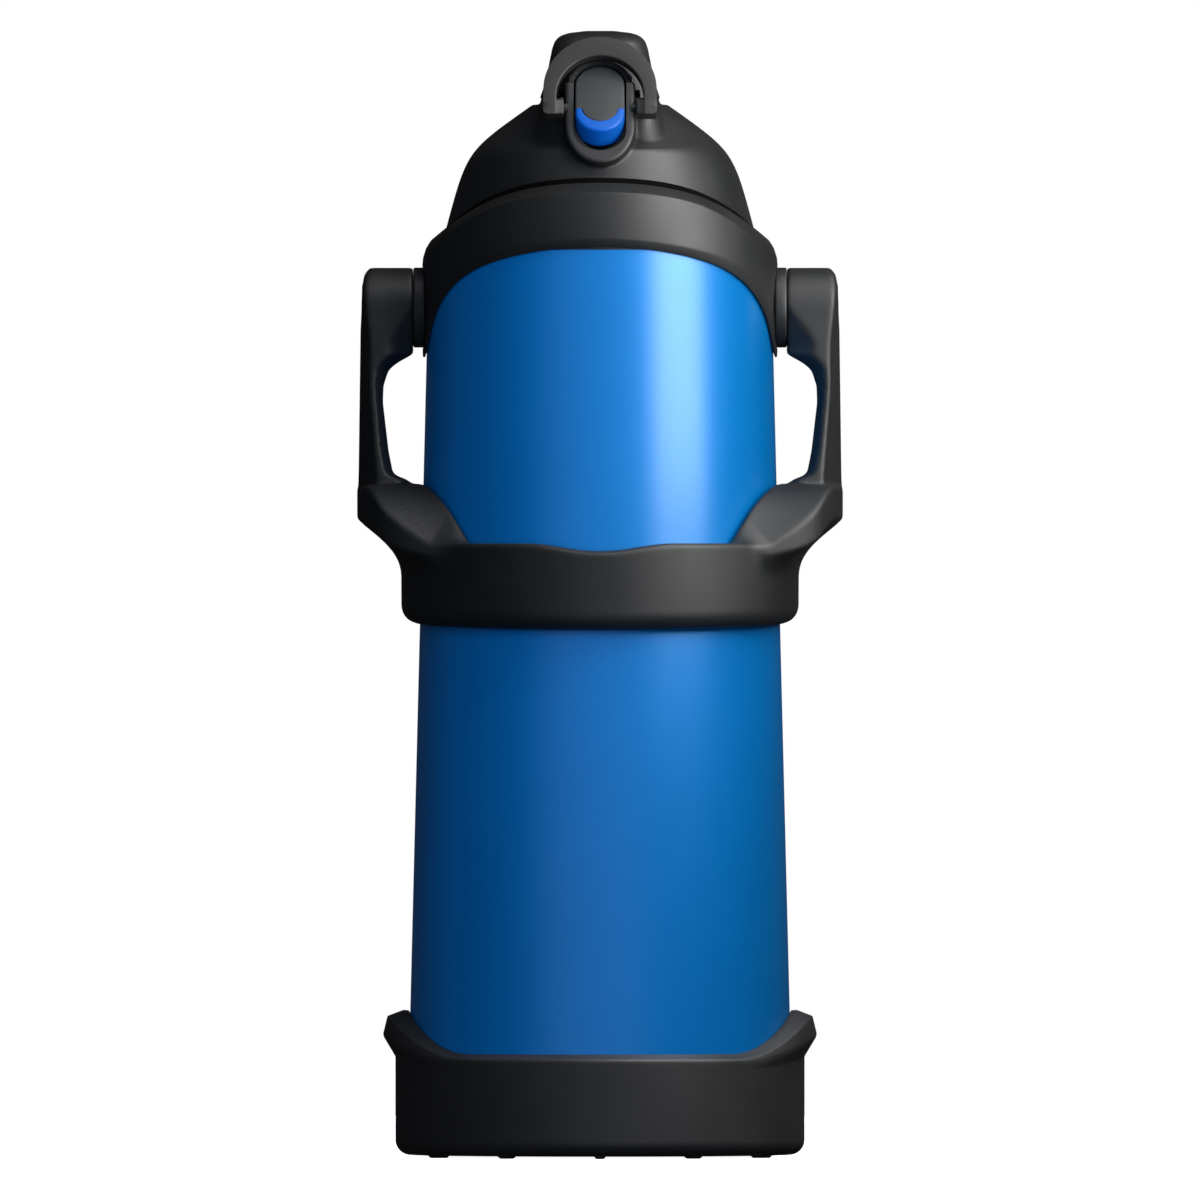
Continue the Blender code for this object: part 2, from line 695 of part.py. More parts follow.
def roof_profile(azimuth, steps=8):
    """The lid's outside in the plane at one azimuth, from the skirt's foot up to its top, as (r, z).

    The skirt's cone and the roof's cone meet in a corner. A fillet rounds it, and starts at the crease.
    """
    crease = crease_z(azimuth)
    start = Vector((skirt_r(crease), crease))
    corner = Vector(ROOF_CORNER)
    top = Vector(ROOF_TOP)
    reach = (corner - start).length
    end = corner + (top - corner).normalized() * min(reach, 0.95 * (top - corner).length)
    points = [(skirt_r(SKIRT_FOOT_Z), SKIRT_FOOT_Z)]
    for i in range(steps + 1):
        t = i / steps
        point = start * (1 - t) ** 3 + corner * 3 * t * (1 - t) + end * t**3
        points.append(tuple(point))
    points.append(tuple(top))
    return points


def dome():
    """The lid's outside as a solid, before it is hollowed."""
    rings = []
    for i in range(LOFT_STEPS):
        azimuth = 2 * math.pi * i / LOFT_STEPS
        c, s = math.cos(azimuth), math.sin(azimuth)
        rings.append([(r * s, -r * c, z) for r, z in roof_profile(azimuth)])
    levels = [list(level) for level in zip(*rings)]
    return lofted("dome", levels)


def rounded_box(half_w, front, back, radius, per_corner=5):
    """A rectangle of (x, y) with round corners."""
    outline = []
    corners = ((half_w, back, 0), (-half_w, back, 90), (-half_w, front, 180), (half_w, front, 270))
    for x, y, first in corners:
        centre = (x - math.copysign(radius, x), y - radius if y == back else y + radius)
        outline += arc(centre, radius, first, first + 90, per_corner)
    return outline


def housing_outline():
    """A U: straight sides with an elliptical lower end, in the face's frame."""
    top = face_v(SPLIT_Z)
    centre = (0.0, face_v(HOUSING_FOOT_Z) + HOUSING_FOOT_RISE)
    lower_end = arc(centre, (HOUSING_HALF_W, HOUSING_FOOT_RISE), 180.0, 360.0, 12)
    return [(HOUSING_HALF_W, top), (-HOUSING_HALF_W, top)] + lower_end


def face_v(z):
    """Distance up the face to a height."""
    return (z - FACE_Z) / math.cos(FACE_TILT)


def button_outline(clearance=0.0):
    """The button's pill outline in its own frame, from its top end downwards."""
    r = BUTTON_HALF_W
    upper = arc((0.0, -r), r + clearance, 0.0, 180.0, 10)
    lower = arc((0.0, -BUTTON_LENGTH + r), r + clearance, 180.0, 360.0, 10)
    return upper + lower


def pocket_mouth():
    """The opening in front of the button, which shows its lower end, cut level from the front."""
    half_w = BUTTON_HALF_W + 0.6
    rise = half_w * math.cos(BUTTON_TILT)
    lower_end = arc((0.0, MOUTH_FOOT_Z + rise), (half_w, rise), 180.0, 360.0, 10)
    outline = [(half_w, 370.0), (-half_w, 370.0)] + lower_end
    return prism("pocket_mouth", outline, 45.0, 60.0, tilted_frame((0.0, 0.0, 0.0), 0.0), helper=True)


def spring_outline():
    """The round well of the button's spring, in the button's frame."""
    return circle(SPRING_WELL_R, 16, (0.0, SPRING_V))


def hinge_knuckle(side):
    """One of the lid's two hinge eyes on its foot, before it is bored."""
    knuckle = rod("knuckle", KNUCKLE_R, side * 9.5, side * 13.2, (HINGE_Y, HINGE_Z), sides=16)
    outline = ((17.5, 366.0), (23.6, 366.0), (23.6, HINGE_Z), (17.5, HINGE_Z))
    foot = lofted("knuckle_foot", [[(side * x, y, z) for y, z in outline] for x in (9.5, 13.2)])
    return join(knuckle, foot)


def lid_shell():
    """The dome with its deck, the latch housing, the hinge eyes and the hubs of the lock ring."""
    lid = dome()
    deck = prism("deck", rounded_box(20.8, -35.5, 17.0, 8.0), 360.0, DECK_Z, Matrix.Identity(4))
    tower = prism("tower", housing_outline(), -9.0, HOUSING_RISE, FACE)
    wall = [(-8.8, -30.0), (8.8, -30.0), (8.8, -3.0), (-8.8, -3.0)]
    back = prism("tower_back", wall, BUTTON_SEAT - 2.0, BUTTON_SEAT - 0.02, BUTTON)
    join(lid, deck, tower, back)
    cut(lid, turned("cavity", CAVITY, helper=True))
    pocket = prism("pocket", button_outline(0.6), BUTTON_SEAT, 14.0, BUTTON, helper=True)
    bore = post("spout_bore", SPOUT_HOLE_R, 340.0, 380.0, (0.0, SPOUT_Y), helper=True)
    cut(lid, pocket, pocket_mouth(), bore)
    for side in (-1, 1):
        hub = prism("hub", circle(LOCK_HUB_R, 16), side * 11.5, side * 16.6, LOCK @ AXIS_X)
        join(lid, hinge_knuckle(side), hub)
    well = rod("hinge_well", KNUCKLE_R + 0.6, -9.3, 9.3, (HINGE_Y, HINGE_Z), helper=True)
    pin_bore = rod("pin_bore", PIN_BORE_R, -12.2, 12.2, (HINGE_Y, HINGE_Z), helper=True, sides=16)
    spring_well = prism("spring_well", spring_outline(), -16.0, -9.0, BUTTON, helper=True)
    return cut(lid, well, pin_bore, spring_well)


def lid_inner():
    """The lining: plug, web and the outer wall with the female thread's ring."""
    floor = PLUG_FLOOR_Z
    outline = [(43.6, 347.0), (45.2, 345.4), (45.2, LINING_FOOT_Z), (43.7, LINING_FOOT_Z), (43.7, 340.5)]
    outline += [(42.6, 341.2), (42.6, 345.2), (37.8, 345.2), (37.8, floor + 1.5), (36.5, floor)]
    outline += [(0.0, floor)]
    outline += [(0.0, floor + 2.0), (36.0, floor + 2.0), (36.0, 347.0)]
    lining = turned("lining", outline)
    return cut(lining, post("drink_hole", SPOUT_HOLE_R, 325.0, 340.0, (0.0, SPOUT_Y), helper=True))


def lid_insulation():
    """The foam in the plug."""
    low = PLUG_FLOOR_Z + 2.0 + GAP
    outline = [(21.0, 361.5), (35.0, 353.8), (35.7, 352.0), (35.7, low), (0.0, low), (0.0, 361.5)]
    foam = turned("foam", outline)
    bore = post("foam_bore", SPOUT_FLANGE_R + 0.2, 325.0, 365.0, (0.0, SPOUT_Y), helper=True)
    around_well = circle(SPRING_WELL_R + 2.0, 16, (0.0, SPRING_V))
    relief = prism("foam_relief", around_well, -20.0, -9.0, BUTTON, helper=True)
    return cut(foam, bore, relief)


def lid_gasket():
    """The silicone ring between the lining's web and the mouth's rim."""
    low = RIM_TOP_Z + GAP
    return turned("gasket", [(42.3, 344.9), (42.3, low), (38.1, low), (38.1, 344.9)])


def spout():
    """The drinking tube, its flange on the deck and the mouthpiece."""
    top = SPOUT_TOP_Z
    seat = DECK_Z + GAP
    outline = [(7.6, top), (8.4, top - 0.8), (9.4, 372.6), (SPOUT_FLANGE_R, 371.6), (SPOUT_FLANGE_R, seat)]
    outline += [(SPOUT_WALL_R, seat), (SPOUT_WALL_R, SPOUT_FOOT_Z), (SPOUT_BORE_R, SPOUT_FOOT_Z)]
    outline += [(SPOUT_BORE_R, top - 0.6), (6.9, top)]
    return turned("tube", outline, 32, centre=(0.0, SPOUT_Y))


def spout_gasket():
    """The seal round the tube on the plug's floor."""
    low = PLUG_FLOOR_Z + 2.0 + GAP
    inner = SPOUT_WALL_R + GAP
    outline = [(11.0, low + 2.0), (11.0, low), (inner, low), (inner, low + 2.0)]
    return turned("seal", outline, 32, centre=(0.0, SPOUT_Y))


# ---------------------------------------------------------------- flip cap


CAP_LEVELS = (370.4, 375.0, 380.0, 385.0, 388.5, 390.8, 392.3, 393.4, 394.0)
CAP_HALF_W = (21.0, 19.5, 18.3, 17.3, 16.5, 15.4, 13.6, 10.2, 5.0)
CAP_FRONT = (-34.2, -32.0, -29.7, -27.4, -25.4, -23.4, -21.0, -18.0, -13.5)
CAP_BACK = (19.2, 17.6, 14.8, 11.0, 7.4, 4.4, 1.2, -2.4, -7.5)


def cap_block(inset, low, high):
    """The cap's tapering block, moved in from its outside by an inset."""
    levels = [z for z in CAP_LEVELS if low < z < high - 0.01]
    sections = []
    for z in [low] + levels + [high]:
        at = min(z + inset * 1.1, CAP_LEVELS[-1])
        half = along(at, CAP_LEVELS, CAP_HALF_W) - inset
        front = along(at, CAP_LEVELS, CAP_FRONT) + inset
        back = along(at, CAP_LEVELS, CAP_BACK) - inset
        radius = min(7.0, 0.9 * half, 0.45 * (back - front))
        sections.append([(x, y, z) for x, y in rounded_box(half, front, back, radius)])
    return lofted("cap_block", sections, helper=inset > 0)


def flip_cap():
    """The cover: a hollow block with a raised arch round the button's notch, and two hinge knuckles."""
    cap = cap_block(0.0, CAP_FOOT_Z, CAP_TOP_Z)
    split = face_v(SPLIT_Z) + GAP
    arch = [(ARCH_HALF_W, split), (ARCH_HALF_W, 13.5)] + arc((0.0, 10.0), (ARCH_HALF_W, 9.4), 20.0, 160.0, 10)
    arch += [(-ARCH_HALF_W, 13.5), (-ARCH_HALF_W, split)]
    join(cap, prism("arch_frame", arch, -7.0, -0.6, FACE))
    cut(cap, cap_block(CAP_WALL, CAP_FOOT_Z - 1.4, CAP_ROOF_Z))
    notch = prism("notch", button_outline(0.9), -24.0, 14.0, BUTTON, helper=True)
    under = [(14.0, split), (-14.0, split), (-14.0, -10.0), (14.0, -10.0)]
    front_relief = prism("front_relief", under, -10.0, 6.0, FACE, helper=True)
    back_relief = rod("back_relief", KNUCKLE_R + 1.3, -30.0, 30.0, (HINGE_Y, HINGE_Z), helper=True)
    cut(cap, notch, front_relief, back_relief)
    for side in (-1, 1):
        knuckle = rod("cap_knuckle", KNUCKLE_R, side * 5.2, side * 9.0, (HINGE_Y, HINGE_Z), sides=16)
        outline = ((HINGE_Y + 2.2, HINGE_Z + 1.8), (18.6, 375.6), (15.4, 376.0), (17.6, HINGE_Z + 1.2))
        web = lofted("cap_web", [[(side * x, y, z) for y, z in outline] for x in (5.2, 9.0)])
        join(cap, knuckle, web)
    return cut(cap, rod("cap_pin_bore", PIN_BORE_R, -12.0, 12.0, (HINGE_Y, HINGE_Z), helper=True, sides=16))


def cap_liner():
    """The frame under the cap's roof that holds its stopper."""
    plate = prism("liner", rounded_box(12.0, -20.4, 1.0, 4.0, 4), 386.6, 388.2, Matrix.Identity(4))
    stem = post("liner_stem", 4.0, 387.9, 390.3, (0.0, SPOUT_Y))
    return join(plate, stem)


def cap_seal():
    """The silicone stopper on the spout."""
    rim = SPOUT_TOP_Z + GAP
    foot = SPOUT_TOP_Z - 0.2
    outline = [(8.6, 386.3), (8.6, rim), (5.6, rim), (5.2, foot), (0.0, foot), (0.0, 386.3)]
    return turned("stopper", outline, 32, centre=(0.0, SPOUT_Y))


def cap_hinge_pin():
    """The steel pin of the flip cap."""
    return rod("pin", PIN_R, -11.9, 11.9, (HINGE_Y, HINGE_Z), sides=16)


def cap_spring():
    """The torsion spring between the cap's knuckles."""
    frame = Matrix.Translation((0.0, HINGE_Y, HINGE_Z)) @ AXIS_X
    return coil("torsion", 2.1, 0.4, -3.6, 7.2, 6.0, frame)


# ---------------------------------------------------------------- lock ring and button


def lock_ring():
    """The arch with a barrel at the foot of each leg."""
    outside = arc((0.0, 6.0), LOCK_OUTER_R, 0.0, 180.0, 20)
    inside = arc((0.0, 3.3), LOCK_INNER_R, 180.0, 0.0, 16)
    outline = [(LOCK_OUTER_R + 0.1, 0.0)] + outside + [(-LOCK_OUTER_R - 0.1, 0.0)]
    outline += [(-LOCK_INNER_R, 0.0)] + inside + [(LOCK_INNER_R, 0.0)]
    ring = prism("arch", outline, LOCK_STANDOFF, LOCK_STANDOFF + LOCK_THICKNESS, LOCK)
    rounded(ring, 0.5)
    for side in (-1, 1):
        barrel = prism("barrel", circle(LOCK_BARREL_R, 20), side * 12.65, side * 19.95, LOCK @ AXIS_X)
        join(ring, barrel)
    for side in (-1, 1):
        bore = circle(LOCK_HUB_R + GAP, 16)
        cut(ring, prism("barrel_hole", bore, side * 10.0, side * 17.2, LOCK @ AXIS_X, helper=True))
    return ring


def plate_outline(clearance=0.0):
    """The inlay's outline in the button's frame: wide above, a narrower round tongue below."""
    r = BUTTON_HALF_W - 0.02
    outline = arc((0.0, -BUTTON_HALF_W), r + clearance, 0.0, 180.0, 12)
    outline += [(-r - clearance, -19.2 - clearance)]
    outline += arc((0.0, -18.5), (6.4 + clearance, 6.4 + clearance), 186.0, 354.0, 10)
    outline += [(r + clearance, -19.2 - clearance)]
    return outline


def push_button():
    """The blue pill, hollowed for its inlay and its spring."""
    button = prism("pill", button_outline(), -BUTTON_DEPTH, 0.0, BUTTON)
    rounded(button, 0.7)
    seat = prism("inlay_seat", plate_outline(0.25), -1.9, 3.0, BUTTON, helper=True)
    well = prism("button_well", spring_outline(), -12.0, -4.4, BUTTON, helper=True)
    return cut(button, seat, well)


def button_plate():
    """The dark inlay on the button."""
    return rounded(prism("inlay", plate_outline(), -1.6, 0.0, BUTTON), 0.35)


def button_spring():
    """The spring that pushes the button out."""
    frame = BUTTON @ Matrix.Translation((0.0, SPRING_V, 0.0))
    return coil("push_spring", 2.5, 0.35, -15.4, 8.4, 5.0, frame)


# ---------------------------------------------------------------- the whole jug


def build():
    """Make every part in its place."""
    clear_scene()
    paint = material("blue_paint", (0.0, 0.10, 0.42), 0.32)
    steel = material("steel", (0.62, 0.62, 0.63), 0.3, 1.0)
    foil = material("foil", (0.85, 0.55, 0.4), 0.35, 1.0)
    black = material("black_plastic", (0.025, 0.026, 0.027), 0.45)
    grey = material("grey_plastic", (0.07, 0.072, 0.074), 0.5)
    blue = material("blue_plastic", (0.0, 0.13, 0.55), 0.4)
    white = material("white_foam", (0.85, 0.85, 0.82), 0.9)
    silicone = material("silicone", (0.75, 0.75, 0.74), 0.6)
    pivot = (0.0, 0.0, PIVOT_Z)
    hinge = (0.0, HINGE_Y, HINGE_Z)
    lock = tuple(LOCK.translation)

    emit(outer_shell(), "outer_shell", paint)
    emit(outer_base(), "outer_base", steel)
    emit(post("vent", 7.0, 10.0, 11.0), "vacuum_seal", steel)
    emit(post("getter", 5.0, 12.6, 15.4, (24.0, 0.0)), "getter_capsule", steel)
    emit(inner_tank(), "inner_tank", steel)
    emit(radiation_foil(), "radiation_foil", foil)
    emit(collar(), "collar", black)
    emit(collar_retaining_ring(), "collar_retaining_ring", steel)
    emit(base_boot(), "base_boot", black)
    for side, word in ((-1, "left"), (1, "right")):
        emit(pivot_washer(side), f"pivot_washer_{word}", black)
        emit(pivot_screw(side), f"pivot_screw_{word}", steel)
        emit(pivot_cap(side), f"pivot_cap_{word}", black, pivot)
    emit(carry_handle(), "carry_handle", black, pivot)
    emit(lid_gasket(), "lid_gasket", silicone)
    emit(lid_shell(), "lid_shell", black)
    emit(lid_inner(), "lid_inner", grey)
    emit(lid_insulation(), "lid_insulation", white)
    emit(spout(), "spout", grey)
    emit(spout_gasket(), "spout_gasket", silicone)
    emit(cap_hinge_pin(), "cap_hinge_pin", steel)
    emit(cap_spring(), "cap_spring", steel)
    emit(flip_cap(), "flip_cap", black, hinge)
    emit(cap_liner(), "cap_liner", grey, hinge)
    emit(cap_seal(), "cap_seal", silicone, hinge)
    emit(lock_ring(), "lock_ring", black, lock)
    emit(push_button(), "push_button", blue)
    emit(button_plate(), "button_plate", grey)
    emit(button_spring(), "button_spring", steel)


build()
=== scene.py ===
"""The looks of the water jug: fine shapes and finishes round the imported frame, with soft studio light.

The shape functions work in millimetres in the jug's own frame, and `meshed` turns each shape into metres.
"""

import math

import bmesh
import bpy
import numpy as np
from mathutils import Matrix, Vector


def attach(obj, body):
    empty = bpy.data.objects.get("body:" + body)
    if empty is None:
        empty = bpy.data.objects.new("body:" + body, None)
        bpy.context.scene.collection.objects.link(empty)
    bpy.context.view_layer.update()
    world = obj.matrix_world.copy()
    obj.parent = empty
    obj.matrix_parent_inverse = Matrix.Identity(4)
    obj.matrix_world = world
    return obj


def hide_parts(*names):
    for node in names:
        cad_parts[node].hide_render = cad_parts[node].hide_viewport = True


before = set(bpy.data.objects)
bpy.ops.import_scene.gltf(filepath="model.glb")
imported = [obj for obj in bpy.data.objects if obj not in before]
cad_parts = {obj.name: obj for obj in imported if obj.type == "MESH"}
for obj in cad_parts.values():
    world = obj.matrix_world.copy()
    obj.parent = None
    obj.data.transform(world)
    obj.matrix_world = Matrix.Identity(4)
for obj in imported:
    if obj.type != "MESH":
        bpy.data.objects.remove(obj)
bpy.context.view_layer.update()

MM = 0.001
GAP = 0.3
ROUND = 192
SMALL_ROUND = 96
VIEW_WIDTH = 420.0
VIEW_CENTRE_Z = 194.95
SIDES = ((-1, "left"), (1, "right"))

# Body.
SHELL_R_AT_FLOOR = 67.7
SHELL_TAPER = 0.025
SHELL_FOOT_Z = 7.0
SHELL_WALL = 0.8
SHOULDER_Z = 317.0
SHOULDER_RISE = 5.0
SHOULDER_INNER_R = 46.0
NECK_R = 42.0
NECK_TOP_Z = 341.8
TANK_OFFSET = 4.8
TANK_WALL = 0.7
TANK_FOOT_Z = 16.0
TANK_NECK_R = 39.9
RIM_TOP_Z = 342.6
THREAD_PITCH = 6.0
THREAD_RIDGE_R = 1.1
THREAD_START_Z = 328.5

# Collar, handle and boot.
COLLAR_R = 62.3
COLLAR_BORE_R = 54.95
EAR_FLAT_X = 61.2
PIVOT_Z = 297.3
HEAD_R = 14.0
ARM_INNER_X = 65.4
TRUNNION_R = 5.5
TRUNNION_END_X = 76.2
COUNTERBORE_X = 76.5
COUNTERBORE_R = 8.2
BAND_INNER_R = 64.0
BAND_OUTER_R = 71.75
BAND_BOTTOM_Z = 184.3
BAND_TOP_Z = 214.7
BOOT_R = 71.6
BOOT_FLOOR_Z = 0.8
RIB_DEGREES = (-60, -30, 0, 30, 60, 120, 150, 180, 210, 240)
RIB_CENTRE_R = 65.0

# Lid.
SKIRT_FOOT_Z = 323.4
SKIRT_FOOT_R = 54.3
SKIRT_SLOPE = 0.266
ROOF_CORNER = (46.7, 352.0)
ROOF_TOP = (23.6, 368.3)
DECK_Z = 370.0
FACE_TILT = math.radians(25.0)
FACE_Y = -41.4
FACE_Z = 366.5
BUTTON_TILT = math.radians(40.0)
BUTTON_TOP = (0.0, -33.4, 381.3)
BUTTON_HALF_W = 8.6
BUTTON_LENGTH = 29.2
BUTTON_DEPTH = 9.3
BUTTON_TRAVEL = 2.0
SPRING_V = -14.6
SPRING_WELL_R = 3.6
MOUTH_FOOT_Z = 351.9
BOW_R = 52.0
HOUSING_HALF_W = 12.25
SPLIT_Z = 375.6
LOCK_PIVOT_Z = 366.5
LOCK_OFFSET = 0.8
LOCK_THICKNESS = 3.2
LOCK_STANDOFF = 0.2
HOUSING_RISE = 1.6
LOCK_BARREL_R = 3.65
LOCK_INNER_R = 15.2
LOCK_OUTER_R = 19.8
HINGE = (20.5, 370.8)
HINGE_PIN_R = 1.15
KNUCKLE_R = 3.2
LID_KNUCKLE_X = (9.5, 13.2)
CAP_KNUCKLE_X = (5.2, 9.0)
SPOUT_Y = -12.0
SPOUT_BORE_R = 6.5
SPOUT_HOLE_R = 8.6
SPOUT_TOP_Z = 382.4


# ---------------------------------------------------------------- mesh helpers


def linked(name, data):
    """A new object in the scene."""
    obj = bpy.data.objects.new(name, data)
    bpy.context.scene.collection.objects.link(obj)
    return obj


def meshed(name, points, faces):
    """An object from points in millimetres and faces, welded and facing out."""
    mesh = bpy.data.meshes.new(name)
    mesh.from_pydata([tuple(c * MM for c in point) for point in points], [], faces)
    return cleaned(linked(name, mesh))


def cleaned(obj):
    """Weld the object's doubled points and turn its faces outwards."""
    work = bmesh.new()
    work.from_mesh(obj.data)
    bmesh.ops.remove_doubles(work, verts=work.verts, dist=1e-7)
    bmesh.ops.recalc_face_normals(work, faces=work.faces)
    work.to_mesh(obj.data)
    work.free()
    return obj


def applied(obj):
    """Keep the object's shape as its modifiers leave it."""
    bpy.context.view_layer.update()
    graph = bpy.context.evaluated_depsgraph_get()
    mesh = bpy.data.meshes.new_from_object(obj.evaluated_get(graph))
    obj.modifiers.clear()
    obj.data = mesh
    return obj


def lofted(name, sections, closed_path=False):
    """A skin over equal-length closed sections of (x, y, z); an open path gets flat ends."""
    count = len(sections[0])
    points = [point for section in sections for point in section]
    faces = []
    for i in range(len(sections) if closed_path else len(sections) - 1):
        first = i * count
        second = ((i + 1) % len(sections)) * count
        for j in range(count):
            k = (j + 1) % count
            faces.append((first + j, first + k, second + k, second + j))
    if not closed_path:
        faces.append(tuple(range(count)))
        faces.append(tuple(range(len(points) - count, len(points))))
    return meshed(name, points, faces)


def spun(section_at, steps=ROUND):
    """The sections about Z of an outline of (r, z) that changes with the azimuth from the front."""
    sections = []
    for i in range(steps):
        azimuth = 2 * math.pi * i / steps
        c, s = math.cos(azimuth), math.sin(azimuth)
        sections.append([(r * s, -r * c, z) for r, z in section_at(azimuth)])
    return sections


def around(name, section_at, steps=ROUND):
    """A ring about Z whose outline of (r, z) changes with the azimuth from the front."""
    return lofted(name, spun(section_at, steps), closed_path=True)


def turned(name, outline, rounding=0.0, steps=ROUND, centre=(0.0, 0.0)):
    """A ring or disc turned about Z from a closed outline of (r, z), its corners rounded."""
    profile = filleted(outline, rounding) if rounding else outline
    obj = around(name, lambda azimuth: profile, steps)
    obj.data.transform(Matrix.Translation((centre[0] * MM, centre[1] * MM, 0.0)))
    return obj


def turned_about_x(name, outline, side, rounding, centre=(0.0, PIVOT_Z), steps=SMALL_ROUND):
    """A disc or pin turned about an axis along X from an outline of (r, distance along X)."""
    obj = turned(name, outline, rounding, steps)
    lay = Matrix(((0, 0, side, 0), (1, 0, 0, 0), (0, side, 0, 0), (0, 0, 0, 1)))
    obj.data.transform(Matrix.Translation((0.0, centre[0] * MM, centre[1] * MM)) @ lay)
    return cleaned(obj)


def prism(name, outline, start, end, place):
    """A flat outline of (u, v) extruded between two depths along the third axis of a frame."""
    sections = [[tuple(place @ Vector((u, v, depth))) for u, v in outline] for depth in (start, end)]
    return lofted(name, sections)


def rod(name, radius, start, end, centre, sides=64):
    """A cylinder along X between two x values, centred on (y, z)."""
    place = Matrix.Translation((0.0, centre[0], centre[1])) @ AXIS_X
    return prism(name, circle(radius, sides), start, end, place)


def post(name, radius, low, high, centre=(0.0, 0.0), sides=64):
    """A cylinder along Z between two heights, centred on (x, y)."""
    place = Matrix.Translation((centre[0], centre[1], 0.0))
    return prism(name, circle(radius, sides), low, high, place)


def coil(name, radius, wire, start, length, turns, place, per_turn=48, sides=10):
    """A spring: round wire along a helix about the third axis of a frame."""
    steps = int(per_turn * turns)
    sections = []
    for i in range(steps + 1):
        angle = 2 * math.pi * turns * i / steps
        out = Vector((math.cos(angle), math.sin(angle), 0.0))
        centre = out * radius + Vector((0.0, 0.0, start + length * i / steps))
        section = []
        for across, along_z in circle(wire, sides):
            section.append(tuple(place @ (centre + out * across + Vector((0.0, 0.0, along_z)))))
        sections.append(section)
    return lofted(name, sections)


def combine(obj, other, operation):
    """Join or cut an object with another, which is used up."""
    boolean = obj.modifiers.new(operation.lower(), "BOOLEAN")
    boolean.operation = operation
    boolean.solver = "EXACT"
    boolean.object = other
    applied(obj)
    bpy.data.objects.remove(other, do_unlink=True)
    return cleaned(obj)


def cut(obj, *others):
    """Subtract the others from the object."""
    for other in others:
        combine(obj, other, "DIFFERENCE")
    return obj


def join(obj, *others):
    """Add the others to the object."""
    for other in others:
        combine(obj, other, "UNION")
    return obj


def rounded(obj, width, segments=3, angle=30.0):
    """Round the sharp edges of an object."""
    bevel = obj.modifiers.new("round", "BEVEL")
    bevel.width = width * MM
    bevel.segments = segments
    bevel.limit_method = "ANGLE"
    bevel.angle_limit = math.radians(angle)
    return applied(obj)


def fused(obj, voxel, passes):
    """Turn an object into one even skin whose edges and inner corners are soft."""
    remesh = obj.modifiers.new("fuse", "REMESH")
    remesh.mode = "VOXEL"
    remesh.voxel_size = voxel * MM
    soften = obj.modifiers.new("soften", "SMOOTH")
    soften.factor = 0.5
    soften.iterations = passes
    return applied(obj)


# ---------------------------------------------------------------- outlines


AXIS_X = Matrix(((0, 0, 1, 0), (1, 0, 0, 0), (0, 1, 0, 0), (0, 0, 0, 1)))


def circle(radius, sides=64, centre=(0.0, 0.0)):
    """A circle of points about a centre."""
    turn = 2 * math.pi / sides
    angles = [i * turn for i in range(sides)]
    return [(centre[0] + radius * math.cos(a), centre[1] + radius * math.sin(a)) for a in angles]


def arc(centre, radius, first, last, steps):
    """Points on an arc between two angles in degrees; the radius may be a pair for an ellipse."""
    rx, ry = radius if isinstance(radius, tuple) else (radius, radius)
    angles = np.radians(np.linspace(first, last, steps + 1))
    return [(centre[0] + rx * math.cos(a), centre[1] + ry * math.sin(a)) for a in angles]


def filleted(points, radius, steps=3):
    """A closed outline with a small curve in place of each corner that is off the axis."""
    result = []
    count = len(points)
    for i in range(count):
        before, corner, after = (Vector(points[(i + step) % count]) for step in (-1, 0, 1))
        reach_in = min(radius, 0.45 * (before - corner).length)
        reach_out = min(radius, 0.45 * (after - corner).length)
        if corner.x == 0.0:
            reach_in = reach_out = 0.0
        start = corner + (before - corner).normalized() * reach_in
        end = corner + (after - corner).normalized() * reach_out
        for j in range(steps + 1):
            t = j / steps
            result.append(tuple(start * (1 - t) ** 2 + corner * 2 * t * (1 - t) + end * t**2))
    return result


def smooth_step(value):
    """0 to 1 with level ends."""
    t = min(max(value, 0.0), 1.0)
    return t * t * (3 - 2 * t)


def along(value, xs, ys):
    """A value read off a smooth curve through a few points."""
    i = min(max(int(np.searchsorted(xs, value)), 1), len(xs) - 1)
    slopes = np.gradient(np.array(ys, float), np.array(xs, float))
    width = xs[i] - xs[i - 1]
    t = min(max((value - xs[i - 1]) / width, 0.0), 1.0)
    start, end = slopes[i - 1] * width, slopes[i] * width
    blend = smooth_step(t)
    bend = start * (t**3 - 2 * t**2 + t) + end * (t**3 - t**2)
    return float(ys[i - 1] * (1 - blend) + ys[i] * blend + bend)


def straight(value, xs, ys):
    """A value read off a polyline."""
    return float(np.interp(value, xs, ys))


def tilted_frame(origin, tilt):
    """Axes on a face that leans back: X, up the slope, and out of the face."""
    up = Vector((0.0, math.sin(tilt), math.cos(tilt)))
    out = Vector((0.0, -math.cos(tilt), math.sin(tilt)))
    rows = [(across, up[i], out[i], origin[i]) for i, across in enumerate((1.0, 0.0, 0.0))]
    return Matrix((*rows, (0.0, 0.0, 0.0, 1.0)))


FACE = tilted_frame((0.0, FACE_Y, FACE_Z), FACE_TILT)
BUTTON = tilted_frame(BUTTON_TOP, BUTTON_TILT)
LOCK_V = (LOCK_PIVOT_Z - FACE_Z - LOCK_OFFSET * math.sin(FACE_TILT)) / math.cos(FACE_TILT)
LOCK = FACE @ Matrix.Translation((0.0, LOCK_V, LOCK_OFFSET))


def shell_r(z):
    """Radius of the painted wall at a height."""
    return SHELL_R_AT_FLOOR - SHELL_TAPER * z


def shoulder(offset, steps):
    """The wall's rounded shoulder from the wall inwards, moved outwards by an offset."""
    reach = shell_r(SHOULDER_Z) - SHOULDER_INNER_R
    return arc((SHOULDER_INNER_R, SHOULDER_Z), (reach + offset, SHOULDER_RISE + offset), 0.0, 90.0, steps)


